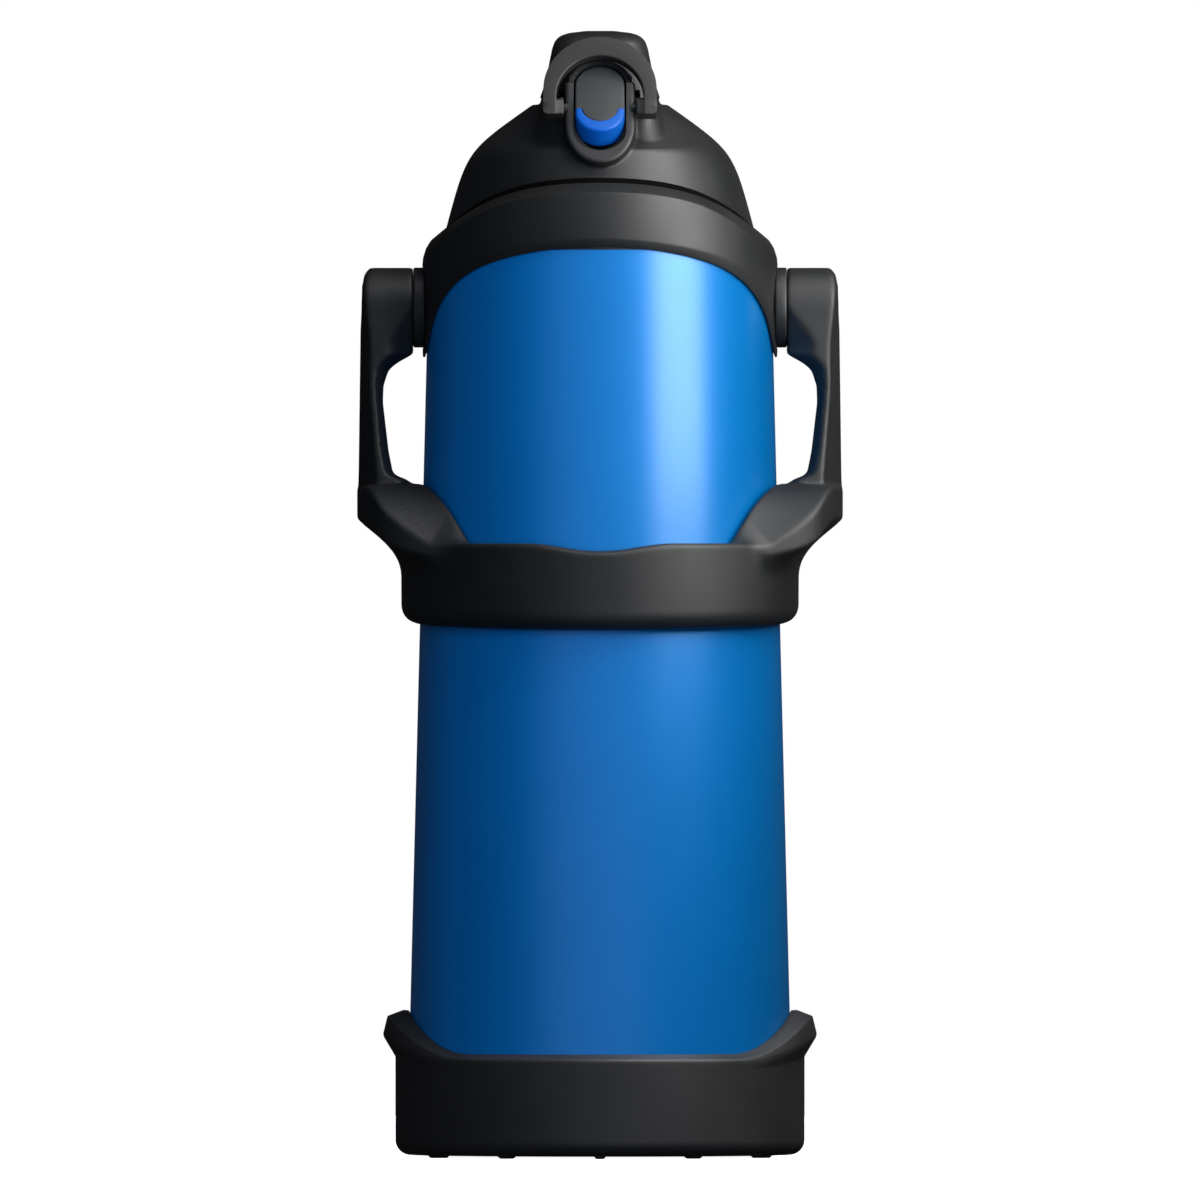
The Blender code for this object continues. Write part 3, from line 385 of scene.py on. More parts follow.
def from_front(azimuth):
    """Angle in degrees from the front or back plane, 0 there and 90 at the sides."""
    return math.degrees(abs(math.asin(min(max(math.sin(azimuth), -1.0), 1.0))))


# ---------------------------------------------------------------- body


def outer_shell():
    """The outer steel wall with its neck."""
    neck_base = SHOULDER_Z + SHOULDER_RISE
    outside = [(NECK_R, NECK_TOP_Z), (NECK_R, neck_base + 1.5), (NECK_R + 0.6, neck_base + 0.3)]
    outside += reversed(shoulder(0.0, 16))
    outside += [(shell_r(z), z) for z in np.linspace(300.0, SHELL_FOOT_Z + 2, 24)]
    outside += [(shell_r(SHELL_FOOT_Z) - 0.7, SHELL_FOOT_Z)]
    inside = [(shell_r(SHELL_FOOT_Z) - 1.5, SHELL_FOOT_Z), (shell_r(12) - SHELL_WALL, 12.0)]
    inside += shoulder(-SHELL_WALL, 8)
    inside += [(NECK_R - SHELL_WALL, neck_base + 0.4), (NECK_R - SHELL_WALL, NECK_TOP_Z)]
    return turned("shell_wall", outside + inside)


def neck_thread():
    """The rolled thread ridge on the neck, its ends tapered into the neck."""
    turns, sides = 1.5, 12
    steps = int(72 * turns)
    sections = []
    for i in range(steps + 1):
        angle = 2 * math.pi * turns * i / steps
        fade = smooth_step(min(i, steps - i) / 10.0)
        out = Vector((math.cos(angle), math.sin(angle), 0.0))
        rise = turns * THREAD_PITCH * i / steps
        centre = out * (NECK_R - 0.3) + Vector((0.0, 0.0, THREAD_START_Z + rise))
        size = 0.15 + (THREAD_RIDGE_R + 0.25) * fade
        sections.append([tuple(centre + out * u + Vector((0.0, 0.0, v))) for u, v in circle(size, sides)])
    return lofted("neck_thread", sections)


def tank():
    """The liner, whose neck ends in a rim rolled over the outer wall's neck."""
    shoulder_z = 309.0
    top_r = shell_r(shoulder_z) - TANK_OFFSET
    foot_r = shell_r(TANK_FOOT_Z) - TANK_OFFSET - 8.0
    reach = top_r - TANK_NECK_R - 1.0
    wall = TANK_WALL
    outside = arc((NECK_R - 0.45, RIM_TOP_Z - 0.28), (0.45, 0.28), 90.0, 0.0, 4)
    outside += [(NECK_R, NECK_TOP_Z + GAP), (TANK_NECK_R + 0.6, NECK_TOP_Z + GAP)]
    outside += [(TANK_NECK_R, NECK_TOP_Z - 0.5), (TANK_NECK_R, 319.0)]
    outside += reversed(arc((TANK_NECK_R + 1.0, shoulder_z), (reach, 8.5), 0.0, 90.0, 12))
    outside += arc((foot_r, TANK_FOOT_Z + 8.0), (8.0, 8.0), 0.0, -90.0, 10) + [(0.0, TANK_FOOT_Z)]
    inside = [(0.0, TANK_FOOT_Z + wall)]
    inside += reversed(arc((foot_r, TANK_FOOT_Z + 8.0), (8.0 - wall, 8.0 - wall), 0.0, -90.0, 10))
    inside += arc((TANK_NECK_R + 1.0, shoulder_z), (reach - wall, 8.5 - wall), 0.0, 90.0, 12)
    inside += [(TANK_NECK_R - wall, 318.5), (TANK_NECK_R - wall, RIM_TOP_Z - 0.5)]
    inside += [(TANK_NECK_R - 0.4, RIM_TOP_Z - 0.1), (TANK_NECK_R + 0.2, RIM_TOP_Z)]
    return turned("tank_liner", outside + inside)


def base_plate():
    """The concave steel bottom."""
    rim = shell_r(SHELL_FOOT_Z) - 1.5 - GAP
    outline = [(rim, 11.0), (rim, 7.2), (rim - 3.0, 7.2), (rim - 12.0, 10.0), (0.0, 11.5)]
    outline += [(0.0, 12.3), (rim - 12.0, 10.8), (rim - 3.2, 8.0), (rim - 0.8, 8.0), (rim - 0.8, 11.0)]
    return turned("base_plate", outline, 0.35)


def collar_top(azimuth):
    """Height of the collar's upper edge, high at the front and back and low at the sides."""
    return 341.0 - 18.0 * math.sin(azimuth) ** 2 + 2.45 * math.sin(2 * azimuth) ** 2


def collar_bottom(azimuth):
    """Height of the collar's lower edge, which falls at each side into an ear round the pivot."""
    s = math.sin(azimuth) ** 2
    aside = COLLAR_R * math.radians(90.0 - from_front(azimuth))
    return 318.2 - s * (13.1 + 15.4 * s**3) - 9.8 / (1 + (aside / 15.5) ** 4)


def collar_section(azimuth):
    """Outline of the collar in the plane at one azimuth, as (r, z)."""
    top = collar_top(azimuth)
    low = collar_bottom(azimuth)
    side = math.sin(azimuth) ** 4
    drop = 3.9 + 8.0 * side
    outline = [(COLLAR_BORE_R, top)]
    for share in np.linspace(0.2, 1.0, 5):
        bend = math.radians(90.0 * share)
        across = math.sin(bend) * side + share * (1 - side)
        down = (1 - math.cos(bend)) * side + share * (1 - side)
        outline.append((COLLAR_BORE_R + (COLLAR_R - COLLAR_BORE_R) * across, top - drop * down))
    outline += [(COLLAR_R, low + 2.8 + 3.2 * side), (shell_r(low) + 1.3, low)]
    outline += [(shell_r(low) + GAP + 0.1, low)]
    outline += [(r, z) for r, z in shoulder(GAP + 0.1, 6) if r > 53.6]
    outline += [(53.6, SHOULDER_Z + SHOULDER_RISE), (COLLAR_BORE_R, SHOULDER_Z + SHOULDER_RISE)]
    return filleted(outline, 0.45, 2)


def collar():
    """The shoulder ring with its ears and the two trunnions that the arms turn on."""
    ring = around("collar_ring", collar_section)
    for side in (-1, 1):
        cut(ring, rod("seat", HEAD_R + 0.9, side * EAR_FLAT_X, side * 70.0, (0.0, PIVOT_Z), 96))
        join(ring, rod("trunnion", TRUNNION_R, side * 60.9, side * TRUNNION_END_X, (0.0, PIVOT_Z)))
    return ring


def shadow_seam_section(azimuth):
    """Outline of the painted shadow seam, a very dark strip inside the collar's upper edge, as (r, z). It
    is lowest at the sides.
    """
    top = collar_top(azimuth)
    rise = 1.3 - 1.1 * smooth_step((from_front(azimuth) - 20.0) / 65.0)
    inner, outer, foot = COLLAR_BORE_R - 0.1, COLLAR_BORE_R + 0.9, top - 2.5
    edge = top + rise
    return [(outer, edge - 0.2), (outer, foot), (inner, foot), (inner, edge), (outer - 0.2, edge)]


def boot_section(azimuth):
    """Outline of the boot in the plane at one azimuth, as (r, z)."""
    lobe = smooth_step((from_front(azimuth) - 43.0) / 47.0)
    rim = 36.6 + 14.8 * lobe
    inner = shell_r(rim) + GAP + 0.1
    outline = [(inner, rim), (inner + 1.2 + 0.9 * lobe, rim - 0.7 + 0.8 * lobe)]
    outline += [(BOOT_R - 0.3 + 3.1 * lobe, rim - 1.9 - 0.1 * lobe)]
    outline += [(BOOT_R + 4.3 * lobe, rim - 2.8 - 5.4 * lobe)]
    outline += [(BOOT_R + 4.0 * lobe, rim - 4.5 - 5.0 * lobe), (BOOT_R, 31.0 + 4.2 * lobe), (BOOT_R, 20.0)]
    outline += arc((BOOT_R - 5.2, BOOT_FLOOR_Z + 5.2), 5.2, 0.0, -90.0, 12)
    recess, groove = BOOT_FLOOR_Z + 0.8, BOOT_FLOOR_Z + 1.3
    outline += [(58.0, BOOT_FLOOR_Z), (56.0, recess), (40.6, recess), (40.0, groove)]
    outline += [(38.0, groove), (37.4, recess), (20.0, recess)]
    seat = SHELL_FOOT_Z - GAP
    outline += [(20.0, 3.6), (57.0, 3.6), (60.0, seat), (shell_r(SHELL_FOOT_Z) + GAP, seat)]
    outline += [(shell_r(9.0) + GAP + 0.1, 9.5)]
    return filleted(outline, 0.35, 2)


def boot_rib(index):
    """One of the small feet under the boot's rim."""
    sections = []
    for half_x, half_y, z in ((1.2, 2.7, 0.0), (1.5, 2.95, 0.12), (1.65, 3.1, 0.35), (2.6, 4.1, 1.5)):
        corner = min(0.8, half_x * 0.6)
        corners = [(-half_x, -half_y), (half_x, -half_y), (half_x, half_y), (-half_x, half_y)]
        outline = filleted(corners, corner)
        sections.append([(x, y - RIB_CENTRE_R, z) for x, y in outline])
    rib = lofted(f"boot_rib_{index + 1}", sections)
    rib.data.transform(Matrix.Rotation(math.radians(RIB_DEGREES[index]), 4, "Z"))
    return rib


def washer(side, word):
    """The disc between the ear and the arm."""
    low, high = EAR_FLAT_X + 0.04, ARM_INNER_X - 0.04
    outline = [(HEAD_R, high), (HEAD_R, low), (TRUNNION_R + GAP, low), (TRUNNION_R + GAP, high)]
    return turned_about_x(f"washer_{word}", outline, side, 0.7)


def screw(side, word):
    """The screw in the trunnion's end, with a hexagon socket."""
    start = COUNTERBORE_X + GAP
    head_r, shank_r, head, tip = 7.5, 2.0, start + 2.2, 66.6
    outline = [(head_r, head), (head_r, start), (shank_r, start), (shank_r, tip), (0.0, tip), (0.0, head)]
    body = turned_about_x(f"screw_{word}", outline, side, 0.3)
    place = Matrix.Translation((0.0, 0.0, PIVOT_Z)) @ AXIS_X
    return cut(body, prism("socket", circle(2.2, 6), side * (start + 1.1), side * 82.0, place))


def cover(side, word):
    """The flush cover in an arm's outer face, slightly dished."""
    r = COUNTERBORE_R - GAP
    outline = [(0.0, 82.9), (r - 2.0, 83.0), (r - 1.2, 83.3), (r, 83.3), (r, 80.6), (0.0, 80.6)]
    return turned_about_x(f"cover_{word}", outline, side, 0.4)


# ---------------------------------------------------------------- handle


def ramp_z(y):
    """Height of the handle's shoulder over the band, as it climbs from the front towards the arm."""
    t = min(max((y + 45.5) / 34.0, 0.0), 1.0)
    return BAND_TOP_Z + 21.0 * (1 - (1 - t) ** 2.9)


def band_section(azimuth):
    """Outline of the handle's grip band in the plane at one azimuth, as (r, z)."""
    degrees = math.degrees(azimuth)
    flare = smooth_step((degrees - 46.0) / 21.0)
    inner = BAND_INNER_R
    outer = BAND_OUTER_R - 2.2 * smooth_step((degrees - 50.0) / 40.0)
    bottom = BAND_BOTTOM_Z + 2.9 * (1 - math.cos(azimuth))
    wave = 2.5 * (1 - smooth_step((degrees - 1.0) / 21.0))
    shelf = outer + (85.0 - outer) * flare
    inside_top = ramp_z(-inner * math.cos(azimuth)) - wave
    outside_top = min(ramp_z(-shelf * math.cos(azimuth)), 230.0 + 5.0 * flare) - wave * 1.2
    outline = [(inner + 0.9, inside_top), (shelf - 0.9, outside_top), (shelf, outside_top - 0.9)]
    ledge = outside_top - 2.0 - 9.5 * flare
    outline += [(shelf, ledge)]
    for t in np.linspace(0.07, 0.9, 10):
        reach = outer + (shelf - outer) * (1 - t) ** 2.6
        outline.append((reach, ledge + (202.0 - ledge) * t**0.8))
    outline += [(outer, 196.0)]
    outline += arc((outer - 5.5, bottom + 6.0), (5.5, 6.0), 0.0, -80.0, 6)
    outline += [(inner + 0.9, bottom), (inner, bottom + 0.9), (inner, inside_top - 0.9)]
    return outline


def grip_band():
    """The half-ring grip with a shoulder at each end, which runs straight back behind the pivots."""
    sections = []
    for degrees in np.linspace(-101.0, 101.0, 135):
        azimuth = math.radians(min(abs(degrees), 90.0))
        c, s = math.cos(azimuth), math.copysign(math.sin(azimuth), degrees)
        behind = HEAD_R * max(abs(degrees) - 90.0, 0.0) / 11.0
        sections.append([(r * s, behind - r * c, z) for r, z in band_section(azimuth)])
    return lofted("carry_grip", sections)


ARM_Z = (226.0, 236.5, 239.0, 247.0, 259.0, 264.0, 270.0, 275.5, 278.0, 281.0, 312.0)
ARM_INSIDE_X = (66.0, 66.0, 72.4, 74.0, 75.4, 76.0, 75.8, 74.0, 71.0, ARM_INNER_X, ARM_INNER_X)
FACET_Z = (226.0, 250.0, 270.0, 277.0, 283.0, 290.0, 296.0, 312.0)


def arm_section(z):
    """Outline of the right arm in a level plane, as (x, y), with an inner facet and an outer chamfer."""
    inner = straight(z, ARM_Z, ARM_INSIDE_X)
    outer = straight(z, (226, 240, 290, 305, 309, 311.3), (84.9, 84.5, 83.8, 83.2, 82.4, 80.5))
    chord = math.sqrt(max(HEAD_R**2 - max(z - PIVOT_Z, 0.0) ** 2, 9.0))
    front = -chord - 3.0 * smooth_step((262.0 - z) / 30.0)
    facet_w = along(z, FACET_Z, (2.6, 2.6, 3.0, 5.2, 9.6, 6.4, 1.2, 1.0))
    facet_d = along(z, FACET_Z, (6.5, 6.5, 6.5, 7.0, 6.5, 3.0, 1.2, 1.0))
    chamfer = along(z, (226, 233, 250, 267, 285, 305, 312), (6.9, 6.6, 5.2, 3.6, 3.2, 0.9, 0.9))
    outline = [(inner, front + facet_d), (inner + facet_w, front), (outer - chamfer, front)]
    outline += [(outer, min(front + 3.2 * chamfer, chord - 3.0)), (outer, chord - 1.8)]
    outline += [(outer - 1.8, chord), (inner + 2.4, chord), (inner, chord - 2.4)]
    return filleted(outline, 0.9, 2)


def arm(side):
    """One arm, from inside the shoulder up to its round head."""
    heights = np.concatenate([np.linspace(226.0, 300.0, 60), np.linspace(301.0, 311.2, 18)])
    sections = [[(side * x, y, z) for x, y in arm_section(z)] for z in heights]
    return lofted("arm", sections)


def carry_handle():
    """The whole handle, bored for its two pivots."""
    handle = grip_band()
    join(handle, arm(-1), arm(1))
    fused(handle, 0.65, 7)
    for side in (-1, 1):
        centre = (0.0, PIVOT_Z)
        cut(handle, rod("bore", TRUNNION_R + GAP, side * 60.0, side * 80.0, centre))
        cut(handle, rod("counterbore", COUNTERBORE_R, side * COUNTERBORE_X, side * 90.0, centre, 96))
    return handle


# ---------------------------------------------------------------- lid


def skirt_r(z):
    """Radius of the lid's conical skirt at a height."""
    return SKIRT_FOOT_R - SKIRT_SLOPE * (z - SKIRT_FOOT_Z)


def crease_z(azimuth):
    """Height of the crease between the skirt's band and the roof."""
    heights = (351.2, 350.9, 349.6, 344.2, 337.8, 330.6, 325)
    return along(from_front(azimuth), (0, 20, 32.6, 50.2, 64.4, 77.2, 90), heights)


def roof_profile(azimuth, steps=24):
    """The lid's outside in the plane at one azimuth, from the skirt's foot up to the deck, as (r, z).

    The skirt's cone and the roof's cone meet in a corner, which a fillet rounds. The fillet is tight
    at the front, where it reads as a crease, and long at the sides.
    """
    crease = crease_z(azimuth)
    start = Vector((skirt_r(crease), crease))
    corner = Vector(ROOF_CORNER)
    top = Vector(ROOF_TOP)
    reach = min((corner - start).length, 0.95 * (top - corner).length)
    end = corner + (top - corner).normalized() * reach
    points = [(skirt_r(SKIRT_FOOT_Z), SKIRT_FOOT_Z), (skirt_r(crease - 1.0), crease - 1.0), tuple(start)]
    for i in range(steps + 1):
        t = i / steps
        point = start * (1 - t) ** 3 + corner * 3 * t * (1 - t) + end * t**3
        points.append((point.x, point.y))
    points.append(tuple(top))
    return points


def dome():
    """The lid's outside as a solid, before it is hollowed."""
    return lofted("lid_dome", [list(level) for level in zip(*spun(roof_profile))])


def rounded_box(half_w, front, back, radius, per_corner=8):
    """A rectangle of (x, y) with round corners."""
    outline = []
    corners = ((half_w, back, 0), (-half_w, back, 90), (-half_w, front, 180), (half_w, front, 270))
    for x, y, first in corners:
        centre = (x - math.copysign(radius, x), y - radius if y == back else y + radius)
        outline += arc(centre, radius, first, first + 90, per_corner)
    return outline


def housing_outline(half_w, top, bottom, radius_y):
    """A U: straight sides with an elliptical lower end, in the face's frame."""
    lower_end = arc((0.0, bottom + radius_y), (half_w, radius_y), 180.0, 360.0, 40)
    return [(half_w, top), (-half_w, top)] + lower_end


def face_v(z):
    """Distance up the face to a height."""
    return (z - FACE_Z) / math.cos(FACE_TILT)


def button_outline(clearance=0.0):
    """The button's pill outline in its own frame, from its top end downwards."""
    r = BUTTON_HALF_W
    upper = arc((0.0, -r), r + clearance, 0.0, 180.0, 32)
    return upper + arc((0.0, -BUTTON_LENGTH + r), r + clearance, 180.0, 360.0, 32)


def lid_shell():
    """The dome with its deck and latch housing, hollowed, with its pocket, bore and wells."""
    lid = dome()
    flare = ((DECK_Z, 8.0), (367.0, 8.1), (363.5, 8.5), (360.5, 9.3))
    flare += ((358.0, 10.3), (356.3, 11.2), (355.0, 12.0), (353.0, 12.9))
    levels = []
    for z, r in flare:
        levels.append([(x, y, z) for x, y in rounded_box(12.8 + r, -27.5 - r, 9.0 + r, r)])
    deck = lofted("deck", levels)
    housing = housing_outline(HOUSING_HALF_W, face_v(SPLIT_Z), face_v(346.9), 14.5)
    tower = rounded(prism("tower", housing, -9.0, HOUSING_RISE, FACE), 0.9)
    join(lid, deck, tower)
    seat_depth = -BUTTON_DEPTH - BUTTON_TRAVEL - 0.6
    back_outline = [(-8.8, -30.0), (8.8, -30.0), (8.8, -3.0), (-8.8, -3.0)]
    join(lid, prism("tower_back", back_outline, seat_depth - 2.0, seat_depth - 0.02, BUTTON))
    cavity = [(0.0, 362.5), (22.0, 362.5), (36.0, 354.6), (43.0, 349.3), (46.3, 344.8)]
    cut(lid, turned("cavity", cavity + [(52.0, 324.0), (52.0, 310.0), (0.0, 310.0)]))
    fused(lid, 0.5, 5)
    pocket = prism("pocket", button_outline(0.6), seat_depth, 14.0, BUTTON)
    half_w = BUTTON_HALF_W + 0.6
    rise = half_w * math.cos(BUTTON_TILT)
    mouth_outline = [(half_w, 370.0), (-half_w, 370.0)]
    mouth_outline += arc((0.0, MOUTH_FOOT_Z + rise), (half_w, rise), 180.0, 360.0, 32)
    mouth = prism("pocket_mouth", mouth_outline, 45.0, 60.0, tilted_frame((0.0, 0.0, 0.0), 0.0))
    bore = post("spout_bore", SPOUT_HOLE_R, 340.0, 380.0, (0.0, SPOUT_Y))
    well = rod("hinge_well", KNUCKLE_R + 0.6, -9.3, 9.3, HINGE)
    spring_well = prism("spring_well", circle(SPRING_WELL_R, 48, (0.0, SPRING_V)), -16.0, -9.0, BUTTON)
    return cut(lid, pocket, mouth, bore, well, spring_well)


def hinge_knuckle(side, word):
    """One of the lid's two hinge knuckles with its foot."""
    outline = arc(HINGE, KNUCKLE_R, -20.0, 200.0, 24) + [(16.9, 366.0), (24.2, 366.0)]
    sections = [[(side * x, y, z) for y, z in outline] for x in LID_KNUCKLE_X]
    knuckle = rounded(lofted(f"hinge_knuckle_{word}", sections), 0.5)
    return cut(knuckle, rod("pin_bore", HINGE_PIN_R + GAP, side * 5.0, side * 12.2, HINGE))


def lock_hub(side, word):
    """One of the stub axles that the lock ring turns on."""
    sections = []
    for x, r in ((11.0, 1.8), (16.2, 1.8), (16.5, 1.7), (16.6, 1.4)):
        sections.append([tuple(LOCK @ AXIS_X @ Vector((u, v, side * x))) for u, v in circle(r, 40)])
    return lofted(f"lock_hub_{word}", sections)


def lid_lining():
    """The lining: plug, web and the outer wall with the female thread's ring."""
    outline = [(43.6, 347.0), (45.2, 345.4), (45.2, 326.0), (43.7, 326.0), (43.7, 340.5), (42.6, 341.2)]
    outline += [(42.6, 345.2), (37.8, 345.2), (37.8, 334.5), (36.5, 333.0), (0.0, 333.0)]
    outline += [(0.0, 335.0), (36.0, 335.0), (36.0, 347.0)]
    hole = post("drink_hole", SPOUT_HOLE_R, 325.0, 340.0, (0.0, SPOUT_Y))
    return cut(turned("lid_lining", outline, 0.5), hole)


def sealing_ring():
    """The silicone ring between the lining's web and the mouth's rim, with two sealing beads."""
    low = RIM_TOP_Z + GAP
    outline = [(42.3, 344.9), (42.3, low + 0.25), (41.7, low), (41.0, low + 0.3), (40.2, low)]
    outline += [(39.3, low + 0.3), (38.6, low), (38.1, low + 0.25), (38.1, 344.9)]
    return turned("sealing_ring", outline, 0.3)


def drinking_spout():
    """The drinking tube, its flange on the deck and the mouthpiece."""
    top = SPOUT_TOP_Z
    seat = DECK_Z + GAP
    outline = [(7.5, top), (8.5, top - 0.8), (9.4, 372.6), (11.2, 371.6), (11.2, seat), (8.2, seat)]
    outline += [(8.2, 331.6), (SPOUT_BORE_R, 331.6), (SPOUT_BORE_R, top - 0.6), (6.9, top)]
    return turned("drinking_spout", outline, 0.5, SMALL_ROUND, (0.0, SPOUT_Y))


def spout_seal():
    """The seal round the tube on the plug's floor."""
    outline = [(11.0, 337.3), (11.0, 335.3), (8.5, 335.3), (8.5, 337.3)]
    return turned("spout_seal", outline, 0.5, SMALL_ROUND, (0.0, SPOUT_Y))


# ---------------------------------------------------------------- flip cap


CAP_LEVELS = (370.4, 375.0, 380.0, 385.0, 388.5, 390.8, 392.3, 393.4, 394.0)
CAP_HALF_W = (21.0, 19.5, 18.3, 17.3, 16.5, 15.4, 13.6, 10.2, 5.0)
CAP_FRONT = (-34.2, -32.0, -29.7, -27.4, -25.4, -23.4, -21.0, -18.0, -13.5)
CAP_BACK = (19.2, 17.6, 14.8, 11.0, 7.4, 4.4, 1.2, -2.4, -7.5)


def bow(x, y, front, back):
    """How far the cap's rounded front lies behind a flat one, fading to nothing halfway back."""
    middle = 0.5 * (front + back)
    return x * x / (2 * BOW_R) * smooth_step((middle - y) / (middle - front))


def cap_block(inset, low, high):
    """The cap's tapering block, moved in from its outside by an inset."""
    sections = []
    for z in np.linspace(low, high, 36):
        at = min(z + inset * 1.1, CAP_LEVELS[-1])
        half = along(at, CAP_LEVELS, CAP_HALF_W) - inset
        front = along(at, CAP_LEVELS, CAP_FRONT) + inset
        back = along(at, CAP_LEVELS, CAP_BACK) - inset
        radius = min(7.0, 0.9 * half, 0.45 * (back - front))
        outline = rounded_box(half, front, back, radius)
        edge = np.linspace(radius - half, half - radius, 20)[1:-1]
        outline = outline[:27] + [(x, front) for x in edge] + outline[27:]
        sections.append([(x, y + bow(x, y, front, back), z) for x, y in outline])
    return lofted("flip_cover", sections)


def flip_cover():
    """The cover: a hollow block with a raised arch round the button's notch, cut clear of the hinge."""
    cap = cap_block(0.0, 370.4, 394.0)
    edge = face_v(SPLIT_Z) + GAP
    arch = [(11.2, edge), (11.2, 13.5)] + arc((0.0, 10.0), (11.2, 9.4), 20.0, 160.0, 32)
    arch += [(-11.2, 13.5), (-11.2, edge)]
    join(cap, rounded(prism("arch_frame", arch, -7.0, -0.6, FACE), 0.7))
    cut(cap, cap_block(2.0, 369.0, 390.8))
    fused(cap, 0.4, 4)
    notch = prism("notch", button_outline(0.9), -24.0, 14.0, BUTTON)
    under = [(14.0, edge), (-14.0, edge), (-14.0, -10.0), (14.0, -10.0)]
    relief = prism("front_relief", under, -10.0, 6.0, FACE)
    back = rod("back_relief", KNUCKLE_R + 1.3, -30.0, 30.0, HINGE)
    return cut(cap, notch, relief, back)


def cap_knuckle(side, word):
    """One of the cap's hinge knuckles with the web that joins it to the cap."""
    inner, outer = CAP_KNUCKLE_X
    knuckle = rod(f"cap_knuckle_{word}", KNUCKLE_R, side * inner, side * outer, HINGE)
    y, z = HINGE
    outline = ((y + 2.2, z + 1.8), (18.6, 375.6), (15.4, 376.0), (17.6, z + 1.2))
    join(knuckle, lofted("web", [[(side * x, y, z) for y, z in outline] for x in CAP_KNUCKLE_X]))
    rounded(knuckle, 0.35)
    return cut(knuckle, rod("pin_bore", HINGE_PIN_R + GAP, side * 3.0, side * 11.0, HINGE))


def stopper_frame():
    """The frame under the cap's roof that holds its stopper."""
    plate = prism("stopper_frame", rounded_box(12.0, -20.4, 1.0, 4.0), 386.6, 388.2, Matrix.Identity(4))
    join(plate, post("stem", 4.0, 387.9, 390.3, (0.0, SPOUT_Y)))
    return rounded(plate, 0.3)


def stopper():
    """The silicone stopper on the spout."""
    low, top = SPOUT_TOP_Z + GAP, 386.3
    outline = [(8.6, top), (8.6, low), (5.6, low), (5.2, low - 0.5), (0.0, low - 0.5), (0.0, top)]
    return turned("stopper", outline, 0.5, SMALL_ROUND, (0.0, SPOUT_Y))


# ---------------------------------------------------------------- lock ring and button


def lock_arch():
    """The arch, bowed back at its sides, with a barrel at the foot of each leg."""
    outer_leg = [(18.6, -3.6), (19.4, -3.1), (LOCK_OUTER_R, -2.2), (19.9, 0.0), (19.85, 3.0)]
    inner_leg = [(LOCK_INNER_R, v) for v in (-3.6, -3.1, -2.2, 0.0, 1.6)]
    outer = outer_leg + arc((0.0, 6.0), LOCK_OUTER_R, 0.0, 180.0, 90)
    outer += [(-x, v) for x, v in reversed(outer_leg)]
    inner = inner_leg + arc((0.0, 3.3), LOCK_INNER_R, 0.0, 180.0, 90)
    inner += [(-x, v) for x, v in reversed(inner_leg)]
    low, high = LOCK_STANDOFF, LOCK_STANDOFF + LOCK_THICKNESS + 0.8
    sections = []
    for (x0, v0), (x1, v1) in zip(outer, inner):
        wide = math.hypot(x1 - x0, v1 - v0)
        section = filleted([(0.0, low), (0.0, high), (wide, high), (wide, low)], 0.6, 4)
        rows = [(x0 + (x1 - x0) * s / wide, v0 + (v1 - v0) * s / wide, d) for s, d in section]
        sections.append([tuple(LOCK @ Vector((x, v, d - x * x / (10 * BOW_R)))) for x, v, d in rows])
    ring = lofted("lock_arch", sections)
    start = 12.65
    for side in (-1, 1):
        barrel = prism("barrel", circle(LOCK_BARREL_R), side * start, side * 19.95, LOCK @ AXIS_X)
        join(ring, rounded(barrel, 0.6))
        foot = [(side * x, v) for x, v in ((start, -3.6), (16.5, -3.6), (16.5, 2.0), (start, 2.0))]
        join(ring, rounded(prism("foot", foot, low, high - 0.55, LOCK), 0.5))
    for side in (-1, 1):
        cut(ring, prism("hole", circle(2.1, 40), side * 10.0, side * 17.2, LOCK @ AXIS_X))
    return ring


def plate_outline(clearance=0.0):
    """The inlay's outline in the button's frame: wide above, a narrower round tongue below."""
    r = BUTTON_HALF_W - 0.02
    outline = arc((0.0, -BUTTON_HALF_W), r + clearance, 0.0, 180.0, 40)
    outline += [(-r - clearance, -19.2 - clearance)]
    outline += arc((0.0, -18.5), (6.4 + clearance, 6.4 + clearance), 186.0, 354.0, 32)
    return outline + [(r + clearance, -19.2 - clearance)]


def button_body():
    """The blue pill, hollowed for its inlay and its spring."""
    button = rounded(prism("button_body", button_outline(), -BUTTON_DEPTH, 0.0, BUTTON), 1.0, 4)
    seat = prism("seat", plate_outline(0.12), -1.9, 3.0, BUTTON)
    well = prism("well", circle(SPRING_WELL_R, 48, (0.0, SPRING_V)), -12.0, -4.4, BUTTON)
    return cut(button, seat, well)


def button_inlay():
    """The dark inlay on the button."""
    return rounded(prism("button_inlay", plate_outline(), -1.6, 0.0, BUTTON), 0.5, 4)


# ---------------------------------------------------------------- finishes


def linear(*colour):
    """Linear values of an sRGB colour given as 0 to 255."""
    shares = [c / 255 for c in colour]
    return [c / 12.92 if c < 0.04045 else ((c + 0.055) / 1.055) ** 2.4 for c in shares] + [1.0]


def with_sockets(node, values):
    """Set a node's sockets by name, with an underscore for each space."""
    for name, value in values.items():
        node.inputs[name.replace("_", " ")].default_value = value
    return node


